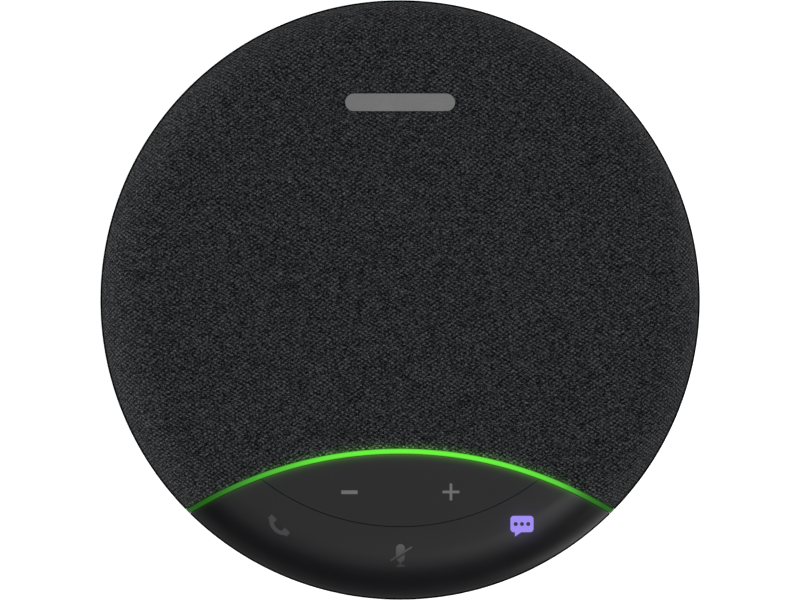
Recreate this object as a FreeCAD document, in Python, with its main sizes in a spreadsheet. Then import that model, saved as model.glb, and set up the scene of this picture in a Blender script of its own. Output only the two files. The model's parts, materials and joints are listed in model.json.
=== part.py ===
import FreeCAD, Part
import Sketcher
import math
import os
from FreeCAD import Vector, Rotation, Placement

# Conference speakerphone: a round battery puck with a cloth-covered top, a lens-shaped key panel at
# the front edge and a curved light bar between the two.  Millimetres and degrees.
# Origin: centre of the underside, in the plane the foot ring rests on.
# +Z up, -Y towards the user (the key panel), +Y the rear (cable port).

doc = FreeCAD.newDocument("speakerphone")
sheet = doc.addObject("Spreadsheet::Sheet", "dims")

# Driving dimensions: alias, value, note.
DIMS = [
    ("case_radius", 62.5, "largest radius of the case"),
    ("top_height", 38.0, "height of the flat top face"),
    ("roll_radius", 10.0, "edge roll between the top face and the side"),
    ("side_taper", 8.0, "inward lean of the side wall, degrees"),
    ("split_height", 15.0, "parting line between cloth side and base casing"),
    ("cloth_thick", 0.8, "acoustic cloth"),
    ("frame_gap", 0.05, "glue line between cloth and frame"),
    ("frame_wall", 1.6, "grille frame wall"),
    ("underside", 2.0, "height of the base casing underside"),
    ("base_roll", 16.0, "bowl radius of the base casing"),
    ("base_wall", 1.8, "base casing wall"),
    ("foot_inner", 42.0, "foot ring inner radius"),
    ("foot_outer", 49.6, "foot ring outer radius"),
    ("foot_sunk", 0.8, "how deep the foot ring sits in its groove"),
    ("arc_offset", 115.15, "light bar centre, in front of the case centre"),
    ("arc_radius", 83.65, "light bar centre-line radius"),
    ("light_width", 1.15, "light bar width at the surface"),
    ("light_depth", 3.2, "light bar depth"),
    ("edge_gap", 0.12, "gap from key caps to the light bar"),
    ("seam_radius", 47.35, "circle that parts the volume key from the function key"),
    ("seam_gap", 0.1, "gap between the two key caps"),
    ("cap_wall", 1.8, "key cap wall"),
    ("skirt_low", 23.5, "lower edge of the function key skirt"),
    ("bezel_high", 22.6, "upper edge of the fixed front bezel"),
    ("pivot_height", 34.1, "height of the key pivot pin"),
    ("pin_radius", 0.75, "key pivot pin"),
    ("run_clear", 0.05, "running clearance of pins in bores"),
    ("tray_low", 26.8, "underside of the key tray floor"),
    ("tray_thick", 1.6, "key tray floor"),
    ("board_thick", 1.6, "circuit board"),
    ("mat_thick", 0.6, "keypad mat sheet"),
    ("dome_top", 32.4, "top of the keypad mat domes"),
    ("post_bore", 1.25, "guide bores of the cradle"),
    ("guide_radius", 1.2, "guide posts of the function key"),
    ("boss_circle", 46.5, "circle of the base screws"),
    ("boss_radius", 3.0, "screw bosses"),
    ("screw_shank", 1.1, "self-tapping screw shank radius"),
    ("driver_shift", 7.2, "driver centre, behind the case centre"),
    ("tub_radius", 37.2, "speaker chamber outer radius"),
    ("tub_wall", 1.8, "speaker chamber wall"),
    ("tub_low", 12.4, "speaker chamber underside"),
    ("tub_high", 28.6, "speaker chamber rim"),
    ("baffle_low", 29.0, "baffle underside"),
    ("baffle_high", 31.0, "baffle top"),
    ("driver_radius", 31.5, "driver flange radius"),
    ("mic_circle", 48.5, "circle of the microphones"),
    ("main_low", 5.6, "main board underside"),
    ("port_face", 53.0, "outer face of the port panel"),
    ("port_half", 16.5, "half width of the port panel"),
    ("port_low", 5.7, "port panel lower edge"),
    ("port_high", 13.2, "port panel upper edge"),
    ("usb_height", 8.83, "cable port centre height"),
    ("button_shift", 11.0, "rear buttons from the middle"),
    ("badge_length", 22.9, "blank badge length"),
    ("badge_width", 3.7, "blank badge width"),
    ("badge_shift", 41.1, "badge behind the case centre"),
]


# ---------------------------------------------------------------- sizes that know their formula
class Size:
    """A number with the spreadsheet formula it comes from."""

    def __init__(self, value, formula=None):
        self.value = float(value)
        self.formula = formula

    def text(self):
        return self.formula if self.formula is not None else "(%.9g)" % self.value

    def _join(self, other, value, sign, swap=False):
        other = other if isinstance(other, Size) else Size(other)
        if self.formula is None and other.formula is None:
            return Size(value)
        left, right = (other, self) if swap else (self, other)
        return Size(value, "(%s %s %s)" % (left.text(), sign, right.text()))

    def __add__(self, other):
        return self._join(other, self.value + num(other), "+")

    def __radd__(self, other):
        return self._join(other, self.value + num(other), "+", True)

    def __sub__(self, other):
        return self._join(other, self.value - num(other), "-")

    def __rsub__(self, other):
        return self._join(other, num(other) - self.value, "-", True)

    def __mul__(self, other):
        return self._join(other, self.value * num(other), "*")

    def __rmul__(self, other):
        return self._join(other, self.value * num(other), "*", True)

    def __truediv__(self, other):
        return self._join(other, self.value / num(other), "/")

    def __neg__(self):
        return 0 - self


def num(size):
    return size.value if isinstance(size, Size) else float(size)


def root(size):
    return Size(math.sqrt(size.value), "sqrt(%s)" % size.text())


def cosine(angle):
    return Size(math.cos(math.radians(angle.value)), "cos(%s)" % angle.text())


def sine(angle):
    return Size(math.sin(math.radians(angle.value)), "sin(%s)" % angle.text())


def tangent(angle):
    return Size(math.tan(math.radians(angle.value)), "tan(%s)" % angle.text())


class Dims:
    """The driving dimensions, one Size attribute per alias."""


dims = Dims()
for row, (alias, value, note) in enumerate(DIMS, start=2):
    sheet.set("A%d" % row, alias)
    sheet.set("B%d" % row, str(value))
    sheet.set("C%d" % row, note)
    sheet.setAlias("B%d" % row, alias)
    setattr(dims, alias, Size(value, "dims." + alias))
doc.recompute()

# ---------------------------------------------------------------- document helpers
made = 0
parts = {}


def fresh(prefix):
    """A new object name."""
    global made
    made += 1
    return "%s_%03d" % (prefix, made)


def keep(obj, label):
    """Label a finished piece and list it for export."""
    obj.Label = label
    parts[label] = obj
    return obj


def piece(build):
    """Decorator: build the piece at once and keep it under the function's name."""
    return keep(build(), build.__name__)


def bind(obj, prop, size):
    """Tie a property to the spreadsheet, if its size has a formula."""
    if isinstance(size, Size) and size.formula is not None:
        obj.setExpression(prop, size.formula)


def place(obj, x, y, z, axis=(0, 0, 1), angle=0):
    obj.Placement = Placement(
        Vector(num(x), num(y), num(z)), Rotation(Vector(*axis), float(angle))
    )
    bind(obj, "Placement.Base.x", x)
    bind(obj, "Placement.Base.y", y)
    bind(obj, "Placement.Base.z", z)
    return obj


def primitive(kind, prefix, **sizes):
    obj = doc.addObject(kind, fresh(prefix))
    for prop, size in sizes.items():
        setattr(obj, prop, num(size))
        bind(obj, prop, size)
    return obj


# ---------------------------------------------------------------- primitives
def cyl(x, y, z0, z1, r):
    """An upright cylinder."""
    return place(primitive("Part::Cylinder", "cyl", Radius=r, Height=z1 - z0), x, y, z0)


def cyls(spots, z0, z1, r):
    """Equal upright cylinders at a list of (x, y) spots."""
    return [cyl(x, y, z0, z1, r) for x, y in spots]


def ycyl(x, y0, y1, z, r):
    """A cylinder along Y from y0 to y1."""
    rod = primitive("Part::Cylinder", "cyl", Radius=r, Height=y1 - y0)
    return place(rod, x, y0, z, (1, 0, 0), -90)


def ball(x, y, z, r):
    return place(primitive("Part::Sphere", "ball", Radius=r), x, y, z)


def cone(x, y, z0, z1, r0, r1):
    return place(primitive("Part::Cone", "cone", Radius1=r0, Radius2=r1, Height=z1 - z0), x, y, z0)


def box(x0, x1, y0, y1, z0, z1):
    block = primitive("Part::Box", "box", Length=x1 - x0, Width=y1 - y0, Height=z1 - z0)
    return place(block, x0, y0, z0)


def wide_box(half, y0, y1, z0, z1):
    """A box with its middle on x = 0."""
    return box(-half, half, y0, y1, z0, z1)


def box_at(x, y, half_x, half_y, z0, z1):
    """A box centred on (x, y)."""
    return box(x - half_x, x + half_x, y - half_y, y + half_y, z0, z1)


def turned_box(x, y, length, width, z0, z1, angle):
    """A box centred on (x, y), turned about Z."""
    block = primitive("Part::Box", "box", Length=length, Width=width, Height=z1 - z0)
    turn = math.radians(angle)
    half_x, half_y = num(length) / 2, num(width) / 2
    corner = Vector(
        num(x) - half_x * math.cos(turn) + half_y * math.sin(turn),
        num(y) - half_x * math.sin(turn) - half_y * math.cos(turn),
        num(z0),
    )
    block.Placement = Placement(corner, Rotation(Vector(0, 0, 1), angle))
    bind(block, "Placement.Base.z", z0)
    return block


def pill_y(x, z, half_width, r, y0, y1):
    """A stadium prism along Y."""
    left, right = x - half_width + r, x + half_width - r
    return fuse([
        ycyl(left, y0, y1, z, r),
        ycyl(right, y0, y1, z, r),
        box(left, right, y0, y1, z - r, z + r),
    ])


# ---------------------------------------------------------------- booleans
def fuse(items):
    if len(items) == 1:
        return items[0]
    obj = doc.addObject("Part::MultiFuse", fresh("fuse"))
    obj.Shapes = items
    obj.Refine = True
    return obj


def group(items):
    obj = doc.addObject("Part::Compound", fresh("group"))
    obj.Links = items
    return obj


def cut(base, tool):
    """Cut one object, or a list of them, from the base."""
    if isinstance(tool, list):
        tool = tool[0] if len(tool) == 1 else group(tool)
    obj = doc.addObject("Part::Cut", fresh("cut"))
    obj.Base = base
    obj.Tool = tool
    return obj


def common(base, tool):
    obj = doc.addObject("Part::Common", fresh("common"))
    obj.Base = base
    obj.Tool = tool
    return obj


# ---------------------------------------------------------------- sketched solids
def new_sketch(body, role, height=0):
    sketch = body.newObject("Sketcher::SketchObject", fresh("sketch"))
    plane = [f for f in body.Origin.OriginFeatures if f.Role == role][0]
    sketch.AttachmentSupport = (plane, [""])
    sketch.MapMode = "FlatFace"
    sketch.AttachmentOffset = Placement(Vector(0, 0, num(height)), Rotation())
    bind(sketch, "AttachmentOffset.Base.z", height)
    return sketch


def constrain(sketch, size, *spec):
    index = sketch.addConstraint(Sketcher.Constraint(*spec, num(size)))
    bind(sketch, "Constraints[%d]" % index, size)


def locate(sketch, kind, geo, pos, size):
    """Hold a point's distance from the sketch origin; a zero distance puts it on the axis."""
    if abs(num(size)) < 1e-9:
        axis = -2 if kind == "DistanceX" else -1
        sketch.addConstraint(Sketcher.Constraint("PointOnObject", geo, pos, axis))
    else:
        constrain(sketch, size, kind, -1, 1, geo, pos)


def arc_between(start, end, radius, side):
    """The arc from start to end; side +1 has its centre on the left of the way, -1 on the right."""
    half = (end - start).Length / 2
    way = (end - start).normalize()
    left = Vector(-way.y, way.x, 0)
    height = math.sqrt(max(radius * radius - half * half, 0.0))
    centre = (start + end) * 0.5 + left * (side * height)
    first, last = (start, end) if side > 0 else (end, start)
    angle0 = math.atan2(first.y - centre.y, first.x - centre.x)
    angle1 = math.atan2(last.y - centre.y, last.x - centre.x)
    if angle1 <= angle0:
        angle1 += 2 * math.pi
    return Part.ArcOfCircle(Part.Circle(centre, Vector(0, 0, 1), radius), angle0, angle1)


def loop(sketch, verts, arcs):
    """A closed outline. arcs maps an edge number to (radius, side), as in arc_between."""
    points = [Vector(num(x), num(y), 0) for x, y in verts]
    following = points[1:] + points[:1]
    ends = []  # geometry number, start point and end point of each edge
    for i, (start, end) in enumerate(zip(points, following)):
        if i in arcs:
            radius, side = arcs[i]
            geo = sketch.addGeometry(arc_between(start, end, num(radius), side))
            ends.append((geo, 1, 2) if side > 0 else (geo, 2, 1))
        else:
            geo = sketch.addGeometry(Part.LineSegment(start, end))
            ends.append((geo, 1, 2))
    for (geo, _, last), (after, first, _) in zip(ends, ends[1:] + ends[:1]):
        sketch.addConstraint(Sketcher.Constraint("Coincident", geo, last, after, first))
    for i, (geo, first, _) in enumerate(ends):
        locate(sketch, "DistanceX", geo, first, verts[i][0])
        locate(sketch, "DistanceY", geo, first, verts[i][1])
        if i not in arcs:
            continue
        radius = arcs[i][0]
        chord = following[i] - points[i]
        if abs(chord.Length / 2 - num(radius)) >= 1e-6:
            constrain(sketch, radius, "Radius", geo)
        # A half circle: its centre is held level with the chord.
        elif abs(chord.x) < abs(chord.y):
            locate(sketch, "DistanceX", geo, 3, verts[i][0])
        else:
            locate(sketch, "DistanceY", geo, 3, verts[i][1])


def circle(sketch, x, y, r):
    geo = sketch.addGeometry(Part.Circle(Vector(num(x), num(y), 0), Vector(0, 0, 1), num(r)))
    locate(sketch, "DistanceX", geo, 3, x)
    locate(sketch, "DistanceY", geo, 3, y)
    constrain(sketch, r, "Radius", geo)


def revolve(verts, arcs={}, y=0):
    """An outline in (radius, height), spun about an upright axis that may stand off in Y."""
    body = doc.addObject("PartDesign::Body", fresh("body"))
    sketch = new_sketch(body, "XZ_Plane")
    loop(sketch, verts, arcs)
    turned = body.newObject("PartDesign::Revolution", fresh("revolution"))
    turned.Profile = sketch
    turned.ReferenceAxis = (sketch, ["V_Axis"])
    turned.Angle = 360
    body.Tip = turned
    if num(y):
        place(body, 0, y, 0)
    return body


def tube(r_in, r_out, z0, z1, y=0):
    return revolve([(r_in, z0), (r_out, z0), (r_out, z1), (r_in, z1)], y=y)


def pad(verts, z0, z1, arcs={}, circles=()):
    """A prism from z0 to z1: an outline in plan, circles (x, y, radius), or both."""
    body = doc.addObject("PartDesign::Body", fresh("body"))
    sketch = new_sketch(body, "XY_Plane", z0)
    if verts:
        loop(sketch, verts, arcs)
    for x, y, r in circles:
        circle(sketch, x, y, r)
    prism = body.newObject("PartDesign::Pad", fresh("pad"))
    prism.Profile = sketch
    prism.Length = num(z1 - z0)
    bind(prism, "Length", z1 - z0)
    body.Tip = prism
    return body


def rounded_pad(x0, x1, y0, y1, r, z0, z1):
    """A block with rounded upright edges."""
    verts = [
        (x0 + r, y0), (x1 - r, y0), (x1, y0 + r), (x1, y1 - r),
        (x1 - r, y1), (x0 + r, y1), (x0, y1 - r), (x0, y0 + r),
    ]
    return pad(verts, z0, z1, {edge: (r, 1) for edge in (1, 3, 5, 7)})


def polar(radius, angle, y=0):
    """A point on a circle whose centre may stand off in Y."""
    turn = math.radians(angle)
    return num(radius) * math.cos(turn), num(radius) * math.sin(turn) + num(y)


def polars(radius, angles, y=0):
    return [polar(radius, angle, y) for angle in angles]


# ---------------------------------------------------------------- the shared outer form
roll_circle = dims.case_radius - dims.roll_radius  # radius at which the roll has its centre
roll_height = dims.top_height - dims.roll_radius  # height of that centre
taper = dims.side_taper


def side_radius(inset, z):
    """Radius of the leaning side wall at a height, moved inwards by inset."""
    lean = (roll_height - z) * tangent(taper)
    return roll_circle + (dims.roll_radius - inset) / cosine(taper) - lean


def roll_end(inset):
    """Where the edge roll meets the leaning side."""
    rolled = dims.roll_radius - inset
    return roll_circle + rolled * cosine(taper), roll_height - rolled * sine(taper)


def dome_shell(outer, inner, low):
    """The outer form between two insets, from the flat top down to a height on the side."""
    verts = [
        (0, dims.top_height - outer),
        (0, dims.top_height - inner),
        (roll_circle, dims.top_height - inner),
        roll_end(inner),
        (side_radius(inner, low), low),
        (side_radius(outer, low), low),
        roll_end(outer),
        (roll_circle, dims.top_height - outer),
    ]
    return revolve(verts, {2: (dims.roll_radius - inner, -1), 6: (dims.roll_radius - outer, 1)})


def dome_solid(inset, low):
    """The outer form, moved inwards and filled, down to a height."""
    verts = [
        (0, dims.top_height - inset),
        (0, low),
        (side_radius(inset, low), low),
        roll_end(inset),
        (roll_circle, dims.top_height - inset),
    ]
    return revolve(verts, {3: (dims.roll_radius - inset, 1)})


def side_ring(outer, inner, low, high):
    """A band of the leaning side wall below the roll."""
    return revolve([
        (side_radius(inner, low), low),
        (side_radius(outer, low), low),
        (side_radius(outer, high), high),
        (side_radius(inner, high), high),
    ])


def arc_cyl(radius, low=0, high=45):
    """An upright cylinder about the light bar's centre."""
    return cyl(0, -dims.arc_offset, low, high, radius)


def arc_ring(r_in, r_out, low, high):
    """An upright ring about the light bar's centre."""
    centre = -dims.arc_offset
    return pad(None, low, high, circles=[(0, centre, r_out), (0, centre, r_in)])


# ---------------------------------------------------------------- shared sizes and places
light_out = dims.arc_radius + dims.light_width / 2
light_in = dims.arc_radius - dims.light_width / 2
key_arc = light_in - dims.edge_gap
led_board_low = dims.top_height - dims.light_depth - 1.7

frame_out = dims.cloth_thick + dims.frame_gap  # insets of the frame's two faces
frame_in = frame_out + dims.frame_wall
frame_under = dims.top_height - frame_in
TOP_SPAN = (34.0, 39.0)  # heights that cut right through the flat top

base_edge = dims.split_height - 0.3
tongue_top = base_edge + 2.2
tongue_out = side_radius(frame_in + 0.15, dims.split_height)
floor_top = dims.underside + 2
boss_top = dims.split_height - 0.1
main_top = dims.main_low + dims.board_thick

tray_top = dims.tray_low + dims.tray_thick
keypad_top = tray_top + dims.board_thick
mat_top = keypad_top + dims.mat_thick
cap_under = dims.top_height - dims.cap_wall
pivot = dims.pivot_height
post_low = dims.dome_top + 0.02  # underside of the posts that press the mat domes

# Spots in plan, (x, y). The first boss is the front one; it belongs to the key tray.
boss_spots = polars(dims.boss_circle, (-90, -18, 54, 126, 198))
tub_pillars = [(33.0, 2.0), (-33.0, 2.0), (26.0, 24.0), (-26.0, 24.0)]
board_posts = [(-18.5, 4.0), (18.5, 4.0), (0.0, 38.5)]
ear_spots = [(36.5, -20.5), (-36.5, -20.5)]
badge_spots = [(-8.0, dims.badge_shift), (8.0, dims.badge_shift)]
keypad_spots = [(-32.0, -42.5), (32.0, -42.5), (-12.0, -55.0), (12.0, -55.0)]
guide_spots = [(14.0, -49.4), (-14.0, -49.4)]
key_led_spots = [
    (-10.5, -36.6), (10.6, -36.6), (-25.2, -50.6), (25.4, -50.6), (4.4, -55.2), (-4.4, -55.2),
]
DOMES = {
    "minus": (-10.5, -40.2),
    "plus": (10.6, -40.2),
    "call": (-25.2, -47.1),
    "assistant": (25.4, -47.0),
    "mute": (0.0, -56.2),
}
MIC_ANGLES = [-36, 18, 72, 108, 162, 216]
LUGS = [(-53.0, -51.4), (-46.2, -44.9), (-36.2, -34.8)]  # pivot lugs, front and rear y


def screws(label, spots, head_z, tip_z, head_r, head_h, shank):
    """Pan-head screws with a cross recess, heads seated at head_z, tips above or below."""
    recess, over = 0.7, 0.1
    arm, arm_half = 1.1, 0.25
    if num(tip_z) > num(head_z):
        face = head_z - head_h
        head, body, slot = (face, head_z), (head_z, tip_z), (face - over, face + recess)
    else:
        face = head_z + head_h
        head, body, slot = (head_z, face), (tip_z, head_z), (face - recess, face + over)
    made_screws = []
    for x, y in spots:
        blank = fuse([cyl(x, y, *head, head_r), cyl(x, y, *body, shank)])
        cross = fuse([
            box_at(x, y, arm, arm_half, *slot),
            box_at(x, y, arm_half, arm, *slot),
        ])
        made_screws.append(cut(blank, cross))
    keep(group(made_screws), label)


# ---------------------------------------------------------------- base
@piece
def bottom_casing():
    """Bowl with a foot groove and a tongue at the rim, screw bosses, pillars and board posts."""
    edge_r = side_radius(0.25, base_edge)
    bowl_x = edge_r - dims.base_roll * cosine(taper)
    bowl_z = base_edge + dims.base_roll * sine(taper)
    roll_in = dims.base_roll - dims.base_wall
    groove_gap, tongue_wall = 0.05, 1.2
    sill_z = 11.0

    def bowl_radius(roll, z):
        return bowl_x + root(roll * roll - (bowl_z - z) * (bowl_z - z))

    bowl = revolve(
        [
            (0, dims.underside),
            (dims.foot_inner - groove_gap, dims.underside),
            (dims.foot_inner - groove_gap, dims.underside + dims.foot_sunk),
            (dims.foot_outer + groove_gap, dims.underside + dims.foot_sunk),
            (dims.foot_outer + groove_gap, dims.underside),
            (bowl_radius(dims.base_roll, dims.underside), dims.underside),
            (edge_r, base_edge),
            (tongue_out, base_edge),
            (tongue_out, tongue_top),
            (tongue_out - tongue_wall, tongue_top),
            (tongue_out - tongue_wall, sill_z + 1.2),
            (bowl_radius(roll_in, sill_z), sill_z),
            (bowl_radius(roll_in, floor_top), floor_top),
            (0, floor_top),
        ],
        {5: (dims.base_roll, 1), 11: (roll_in, -1)},
    )
    column_low = floor_top - 0.5  # columns are rooted in the floor
    column_r = 2.2
    columns = cyls(boss_spots, column_low, boss_top, dims.boss_radius)
    columns += cyls(tub_pillars, column_low, dims.tub_low - 0.05, column_r)
    columns += cyls(board_posts, column_low, dims.main_low, column_r)
    holes = []
    for x, y in boss_spots:
        holes.append(cyl(x, y, 0, boss_top + 1, dims.screw_shank + 0.15))
        holes.append(cyl(x, y, 0, dims.underside + 3.2, 2.4))
    holes += cyls(board_posts, floor_top - 1.2, dims.main_low + 1, dims.screw_shank - 0.1)
    port_gap = 0.1
    holes.append(wide_box(
        dims.port_half + port_gap, 48.0, 70.0, dims.port_low - port_gap, dims.port_high + port_gap
    ))
    return cut(fuse([bowl] + columns), holes)


@piece
def foot_ring():
    edge = 0.8
    top = dims.underside + dims.foot_sunk - 0.02
    return revolve(
        [
            (dims.foot_inner + edge, 0),
            (dims.foot_outer - edge, 0),
            (dims.foot_outer, edge),
            (dims.foot_outer, top),
            (dims.foot_inner, top),
            (dims.foot_inner, edge),
        ],
        {1: (edge, 1), 5: (edge, 1)},
    )


screws("base_screws", boss_spots, head_z=dims.underside + 3.15, tip_z=21.0,
       head_r=2.2, head_h=1.6, shank=dims.screw_shank)

# ---------------------------------------------------------------- port panel and rear buttons
panel_in = dims.port_face - 1.6
button_z = dims.usb_height + 0.3


@piece
def port_panel():
    """Panel with the cable port in the middle and a button hole on each side."""
    plate = rounded_pad(-dims.port_half, dims.port_half, panel_in, dims.port_face, 0.3,
                        dims.port_low, dims.port_high)
    span = (48.0, 56.0)
    return cut(plate, [
        pill_y(0, dims.usb_height, 4.75, 1.85, *span),
        pill_y(-dims.button_shift, button_z, 3.2, 1.4, *span),
        pill_y(dims.button_shift, button_z, 3.2, 1.4, *span),
    ])


def rear_button(name, x):
    """A flanged button, and the board switch with its plunger in front of it."""
    stem = pill_y(x, button_z, 3.1, 1.3, panel_in - 0.3, dims.port_face + 0.5)
    flange = pill_y(x, button_z, 3.8, 1.9, panel_in - 0.75, panel_in - 0.05)
    keep(fuse([stem, flange]), name + "_button")

    tip = panel_in - 0.78
    case = box(x - 2.4, x + 2.4, tip - 4.2, tip - 1.0, main_top, main_top + 2.8)
    pads = [
        box(x + x0, x + x1, tip - 3.6, tip - 2.0, main_top, main_top + 0.3)
        for x0, x1 in ((-3.0, -2.35), (2.35, 3.0))
    ]
    hole = ycyl(x, tip - 2.2, tip - 0.5, button_z, 0.8)
    keep(cut(fuse([case] + pads), hole), name + "_switch")
    keep(ycyl(x, tip - 1.6, tip, button_z, 0.75), name + "_switch_plunger")


rear_button("power", -dims.button_shift)
rear_button("pairing", dims.button_shift)


@piece
def usb_receptacle():
    """A shell open to the rear, with walls 0.3 thick."""
    half_width, half_height, wall = 4.47, 1.6, 0.3
    shell = pill_y(0, dims.usb_height, half_width, half_height, 45.5, 52.8)
    bore = pill_y(0, dims.usb_height, half_width - wall, half_height - wall, 46.3, 53.0)
    return cut(shell, bore)


keep(wide_box(3.3, 46.32, 52.2, dims.usb_height - 0.35, dims.usb_height + 0.35), "usb_tongue")


# ---------------------------------------------------------------- main board and battery
@piece
def main_board():
    outline = [(-22, -3), (22, -3), (22, 43.2), (16, 49.2), (-16, 49.2), (-22, 43.2)]
    plate = pad(outline, dims.main_low, main_top)
    return cut(plate, cyls(board_posts, 4.0, 9.0, dims.screw_shank + 0.2))


@piece
def shield_can():
    """Open-bottomed can with a grid of round holes in its lid."""
    x0, x1, y0, y1, height, wall = -14, 6, 8, 26, 2.2, 0.3
    can = box(x0, x1, y0, y1, main_top, main_top + height)
    hollow = box(x0 + wall, x1 - wall, y0 + wall, y1 - wall,
                 main_top - 1, main_top + height - wall)
    grid = [(x, y) for x in (-10, -6, -2, 2) for y in (12, 17, 22)]
    return cut(cut(can, hollow), cyls(grid, main_top + 1, main_top + 3, 0.5))


# Square parts on the main board: x0, x1, y0, y1, height.
BOARD_BLOCKS = [
    (-10, -1, 12, 21, 1.2), (7.5, 12.8, 9, 14.5, 1.0), (10, 14, 19, 24, 0.9),
    (-19, -15.5, 30, 33.5, 0.9), (9, 12.5, 29, 32.5, 2.0), (-8, 0, 30, 34, 0.8),
    (-19, -15, 15, 22, 1.5), (-19.5, -9.5, -2.2, 0.4, 0.9), (4, 9, -2.4, 1.6, 2.6),
]


@piece
def board_parts():
    """The blocks, two round cans and a block turned in line with the microphone flex."""
    blocks = [
        box(x0, x1, y0, y1, main_top, main_top + height)
        for x0, x1, y0, y1, height in BOARD_BLOCKS
    ]
    cans = cyls([(17.5, 29.0), (17.5, 34.0)], main_top, main_top + 2.6, 1.8)
    turned = turned_box(*polar(19.8, 30), 3.0, 5.0, main_top, main_top + 1.0, 30)
    return group(blocks + cans + [turned])


screws("main_board_screws", board_posts, head_z=main_top, tip_z=4.4,
       head_r=2.0, head_h=1.2, shank=0.95)

battery_low = 4.5
keep(rounded_pad(-28, 28, -41, -7, 2.5, battery_low, 11.3), "battery_pack")
keep(rounded_pad(-26, 26, -39, -9, 1.0, floor_top + 0.02, battery_low - 0.02), "battery_pad")


# ---------------------------------------------------------------- grille frame, cloth and badge
@piece
def top_frame():
    """Perforated shell with screw posts, two ears and a wall behind the light bar."""
    arc_r = light_out + 0.35
    shell = cut(dome_shell(frame_out, frame_in, dims.split_height), arc_cyl(arc_r))
    wall = common(
        arc_ring(arc_r, light_out + 1.55, dims.baffle_high + 0.3, frame_under + 0.1),
        dome_solid(frame_in - 0.1, 29.5),
    )
    post_top = frame_under + 0.2
    posts = cyls(boss_spots[1:], dims.split_height, post_top, dims.boss_radius)
    ears = cyls(ear_spots, tray_top + 0.05, post_top, 2.8)

    # Seven rings of grille holes about the driver; every second ring starts 15 degrees on.
    ring_pitch = 4.1
    grille_spots = []
    for k in range(7):
        count = max(1, 6 * k)
        start = 15 if k % 2 else 0
        angles = [360.0 * j / count + start for j in range(count)]
        grille_spots += polars(ring_pitch * k, angles, dims.driver_shift)
    pilot_r = dims.screw_shank + 0.02
    holes = cyls(grille_spots, *TOP_SPAN, 1.25)
    holes += cyls(polars(dims.mic_circle, MIC_ANGLES), *TOP_SPAN, 0.6)
    holes += cyls(boss_spots[1:], 10.0, 22.0, pilot_r)
    holes += cyls(ear_spots, 25.0, 33.8, pilot_r)
    holes += cyls(badge_spots, *TOP_SPAN, 0.62)
    return cut(fuse([shell, wall] + posts + ears), holes)


@piece
def fabric_cover():
    cloth = dome_shell(0, dims.cloth_thick, dims.split_height)
    return cut(cut(cloth, arc_cyl(light_out + 0.1)), cyls(badge_spots, *TOP_SPAN, 0.62))


@piece
def badge():
    """A blank stadium plate on two pins."""
    half_width = dims.badge_width / 2
    straight = dims.badge_length / 2 - half_width
    front, rear = dims.badge_shift - half_width, dims.badge_shift + half_width
    plate = pad(
        [(-straight, front), (straight, front), (straight, rear), (-straight, rear)],
        dims.top_height + 0.02,
        dims.top_height + 0.55,
        {1: (half_width, 1), 3: (half_width, 1)},
    )
    return fuse([plate] + cyls(badge_spots, 35.7, dims.top_height + 0.1, 0.55))


# ---------------------------------------------------------------- light bar
@piece
def light_bar():
    low = dims.split_height + 0.1
    bar = common(dome_shell(0, dims.light_depth, low), arc_ring(light_in, light_out, low, 45.0))
    # Its foot steps clear of the base casing's tongue.
    return cut(bar, cyl(0, 0, 14.0, tongue_top + 0.1, tongue_out + 0.08))


led_board_top = led_board_low + 0.8


@piece
def light_strip_board():
    strip = arc_ring(light_in + 0.03, light_out + 0.2, led_board_low, led_board_top)
    return common(strip, cyl(0, 0, 25.0, 45.0, roll_circle - 1.5))


@piece
def light_leds():
    """Ten blocks along the strip; angles run from the rear direction towards +X."""
    leds = []
    for i in range(10):
        angle = -22.5 + 5 * i
        x, y = polar(dims.arc_radius, 90 - angle, -dims.arc_offset)
        leds.append(turned_box(x, y, 1.6, 0.8, led_board_top, led_board_low + 1.5, -angle))
    return group(leds)


# ---------------------------------------------------------------- key tray
@piece
def key_tray():
    """Floor, front skirt, rear arc wall, front screw post, two side ears on arms, pivot lugs."""
    low = dims.tray_low
    inset = dims.cap_wall + 0.6
    arc_r = light_out + 0.2
    floor = common(dome_solid(inset + 1.2, low), arc_cyl(arc_r, 26.0, tray_top))
    skirt = common(
        side_ring(inset + 0.2, inset + 1.4, 19.5, low + 0.9),
        arc_cyl(light_in - 0.2, 15.0, 30.0),
    )
    wall = common(
        fuse([
            arc_ring(light_in - 1.4, arc_r, low, led_board_low),
            arc_ring(light_in - 0.95, light_in - 0.2, low, 35.2),
        ]),
        cyl(0, 0, 20.0, 45.0, roll_circle - 1.0),
    )
    post = cyl(*boss_spots[0], dims.split_height, low + 0.5, dims.boss_radius)
    ears = [pad(None, low, tray_top, circles=[(x, y, 3.4)]) for x, y in ear_spots]
    # The right arm in plan, mirrored for the left one.
    arm = [(33.0, -40.5), (40.0, -42.0), (39.4, -20.5), (33.9, -20.5)]
    arms = [pad([(side * x, y) for x, y in arm], low, tray_top) for side in (1, -1)]
    lugs = [wide_box(1.8, y0, y1, low + 0.5, pivot + 1.25) for y0, y1 in LUGS]

    holes = cyls(ear_spots, 25.0, 30.0, dims.screw_shank + 0.2)
    holes.append(cyl(*boss_spots[0], 12.0, 21.6, dims.screw_shank + 0.02))
    holes += cyls(keypad_spots, low + 0.3, tray_top + 1, dims.screw_shank - 0.2)
    holes.append(box(-19.0, -9.0, -36.8, -35.5, 25.0, 30.0))  # ribbon slot
    holes.append(ycyl(0, -53.2, -34.5, pivot, dims.pin_radius + 0.01))
    return cut(fuse([floor, skirt, wall, post] + ears + arms + lugs), holes)


keep(ycyl(0, LUGS[0][0], LUGS[-1][1], pivot, dims.pin_radius), "key_pivot_pin")
screws("key_tray_screws", ear_spots, head_z=dims.tray_low, tip_z=33.4,
       head_r=2.1, head_h=1.4, shank=dims.screw_shank)


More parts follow.
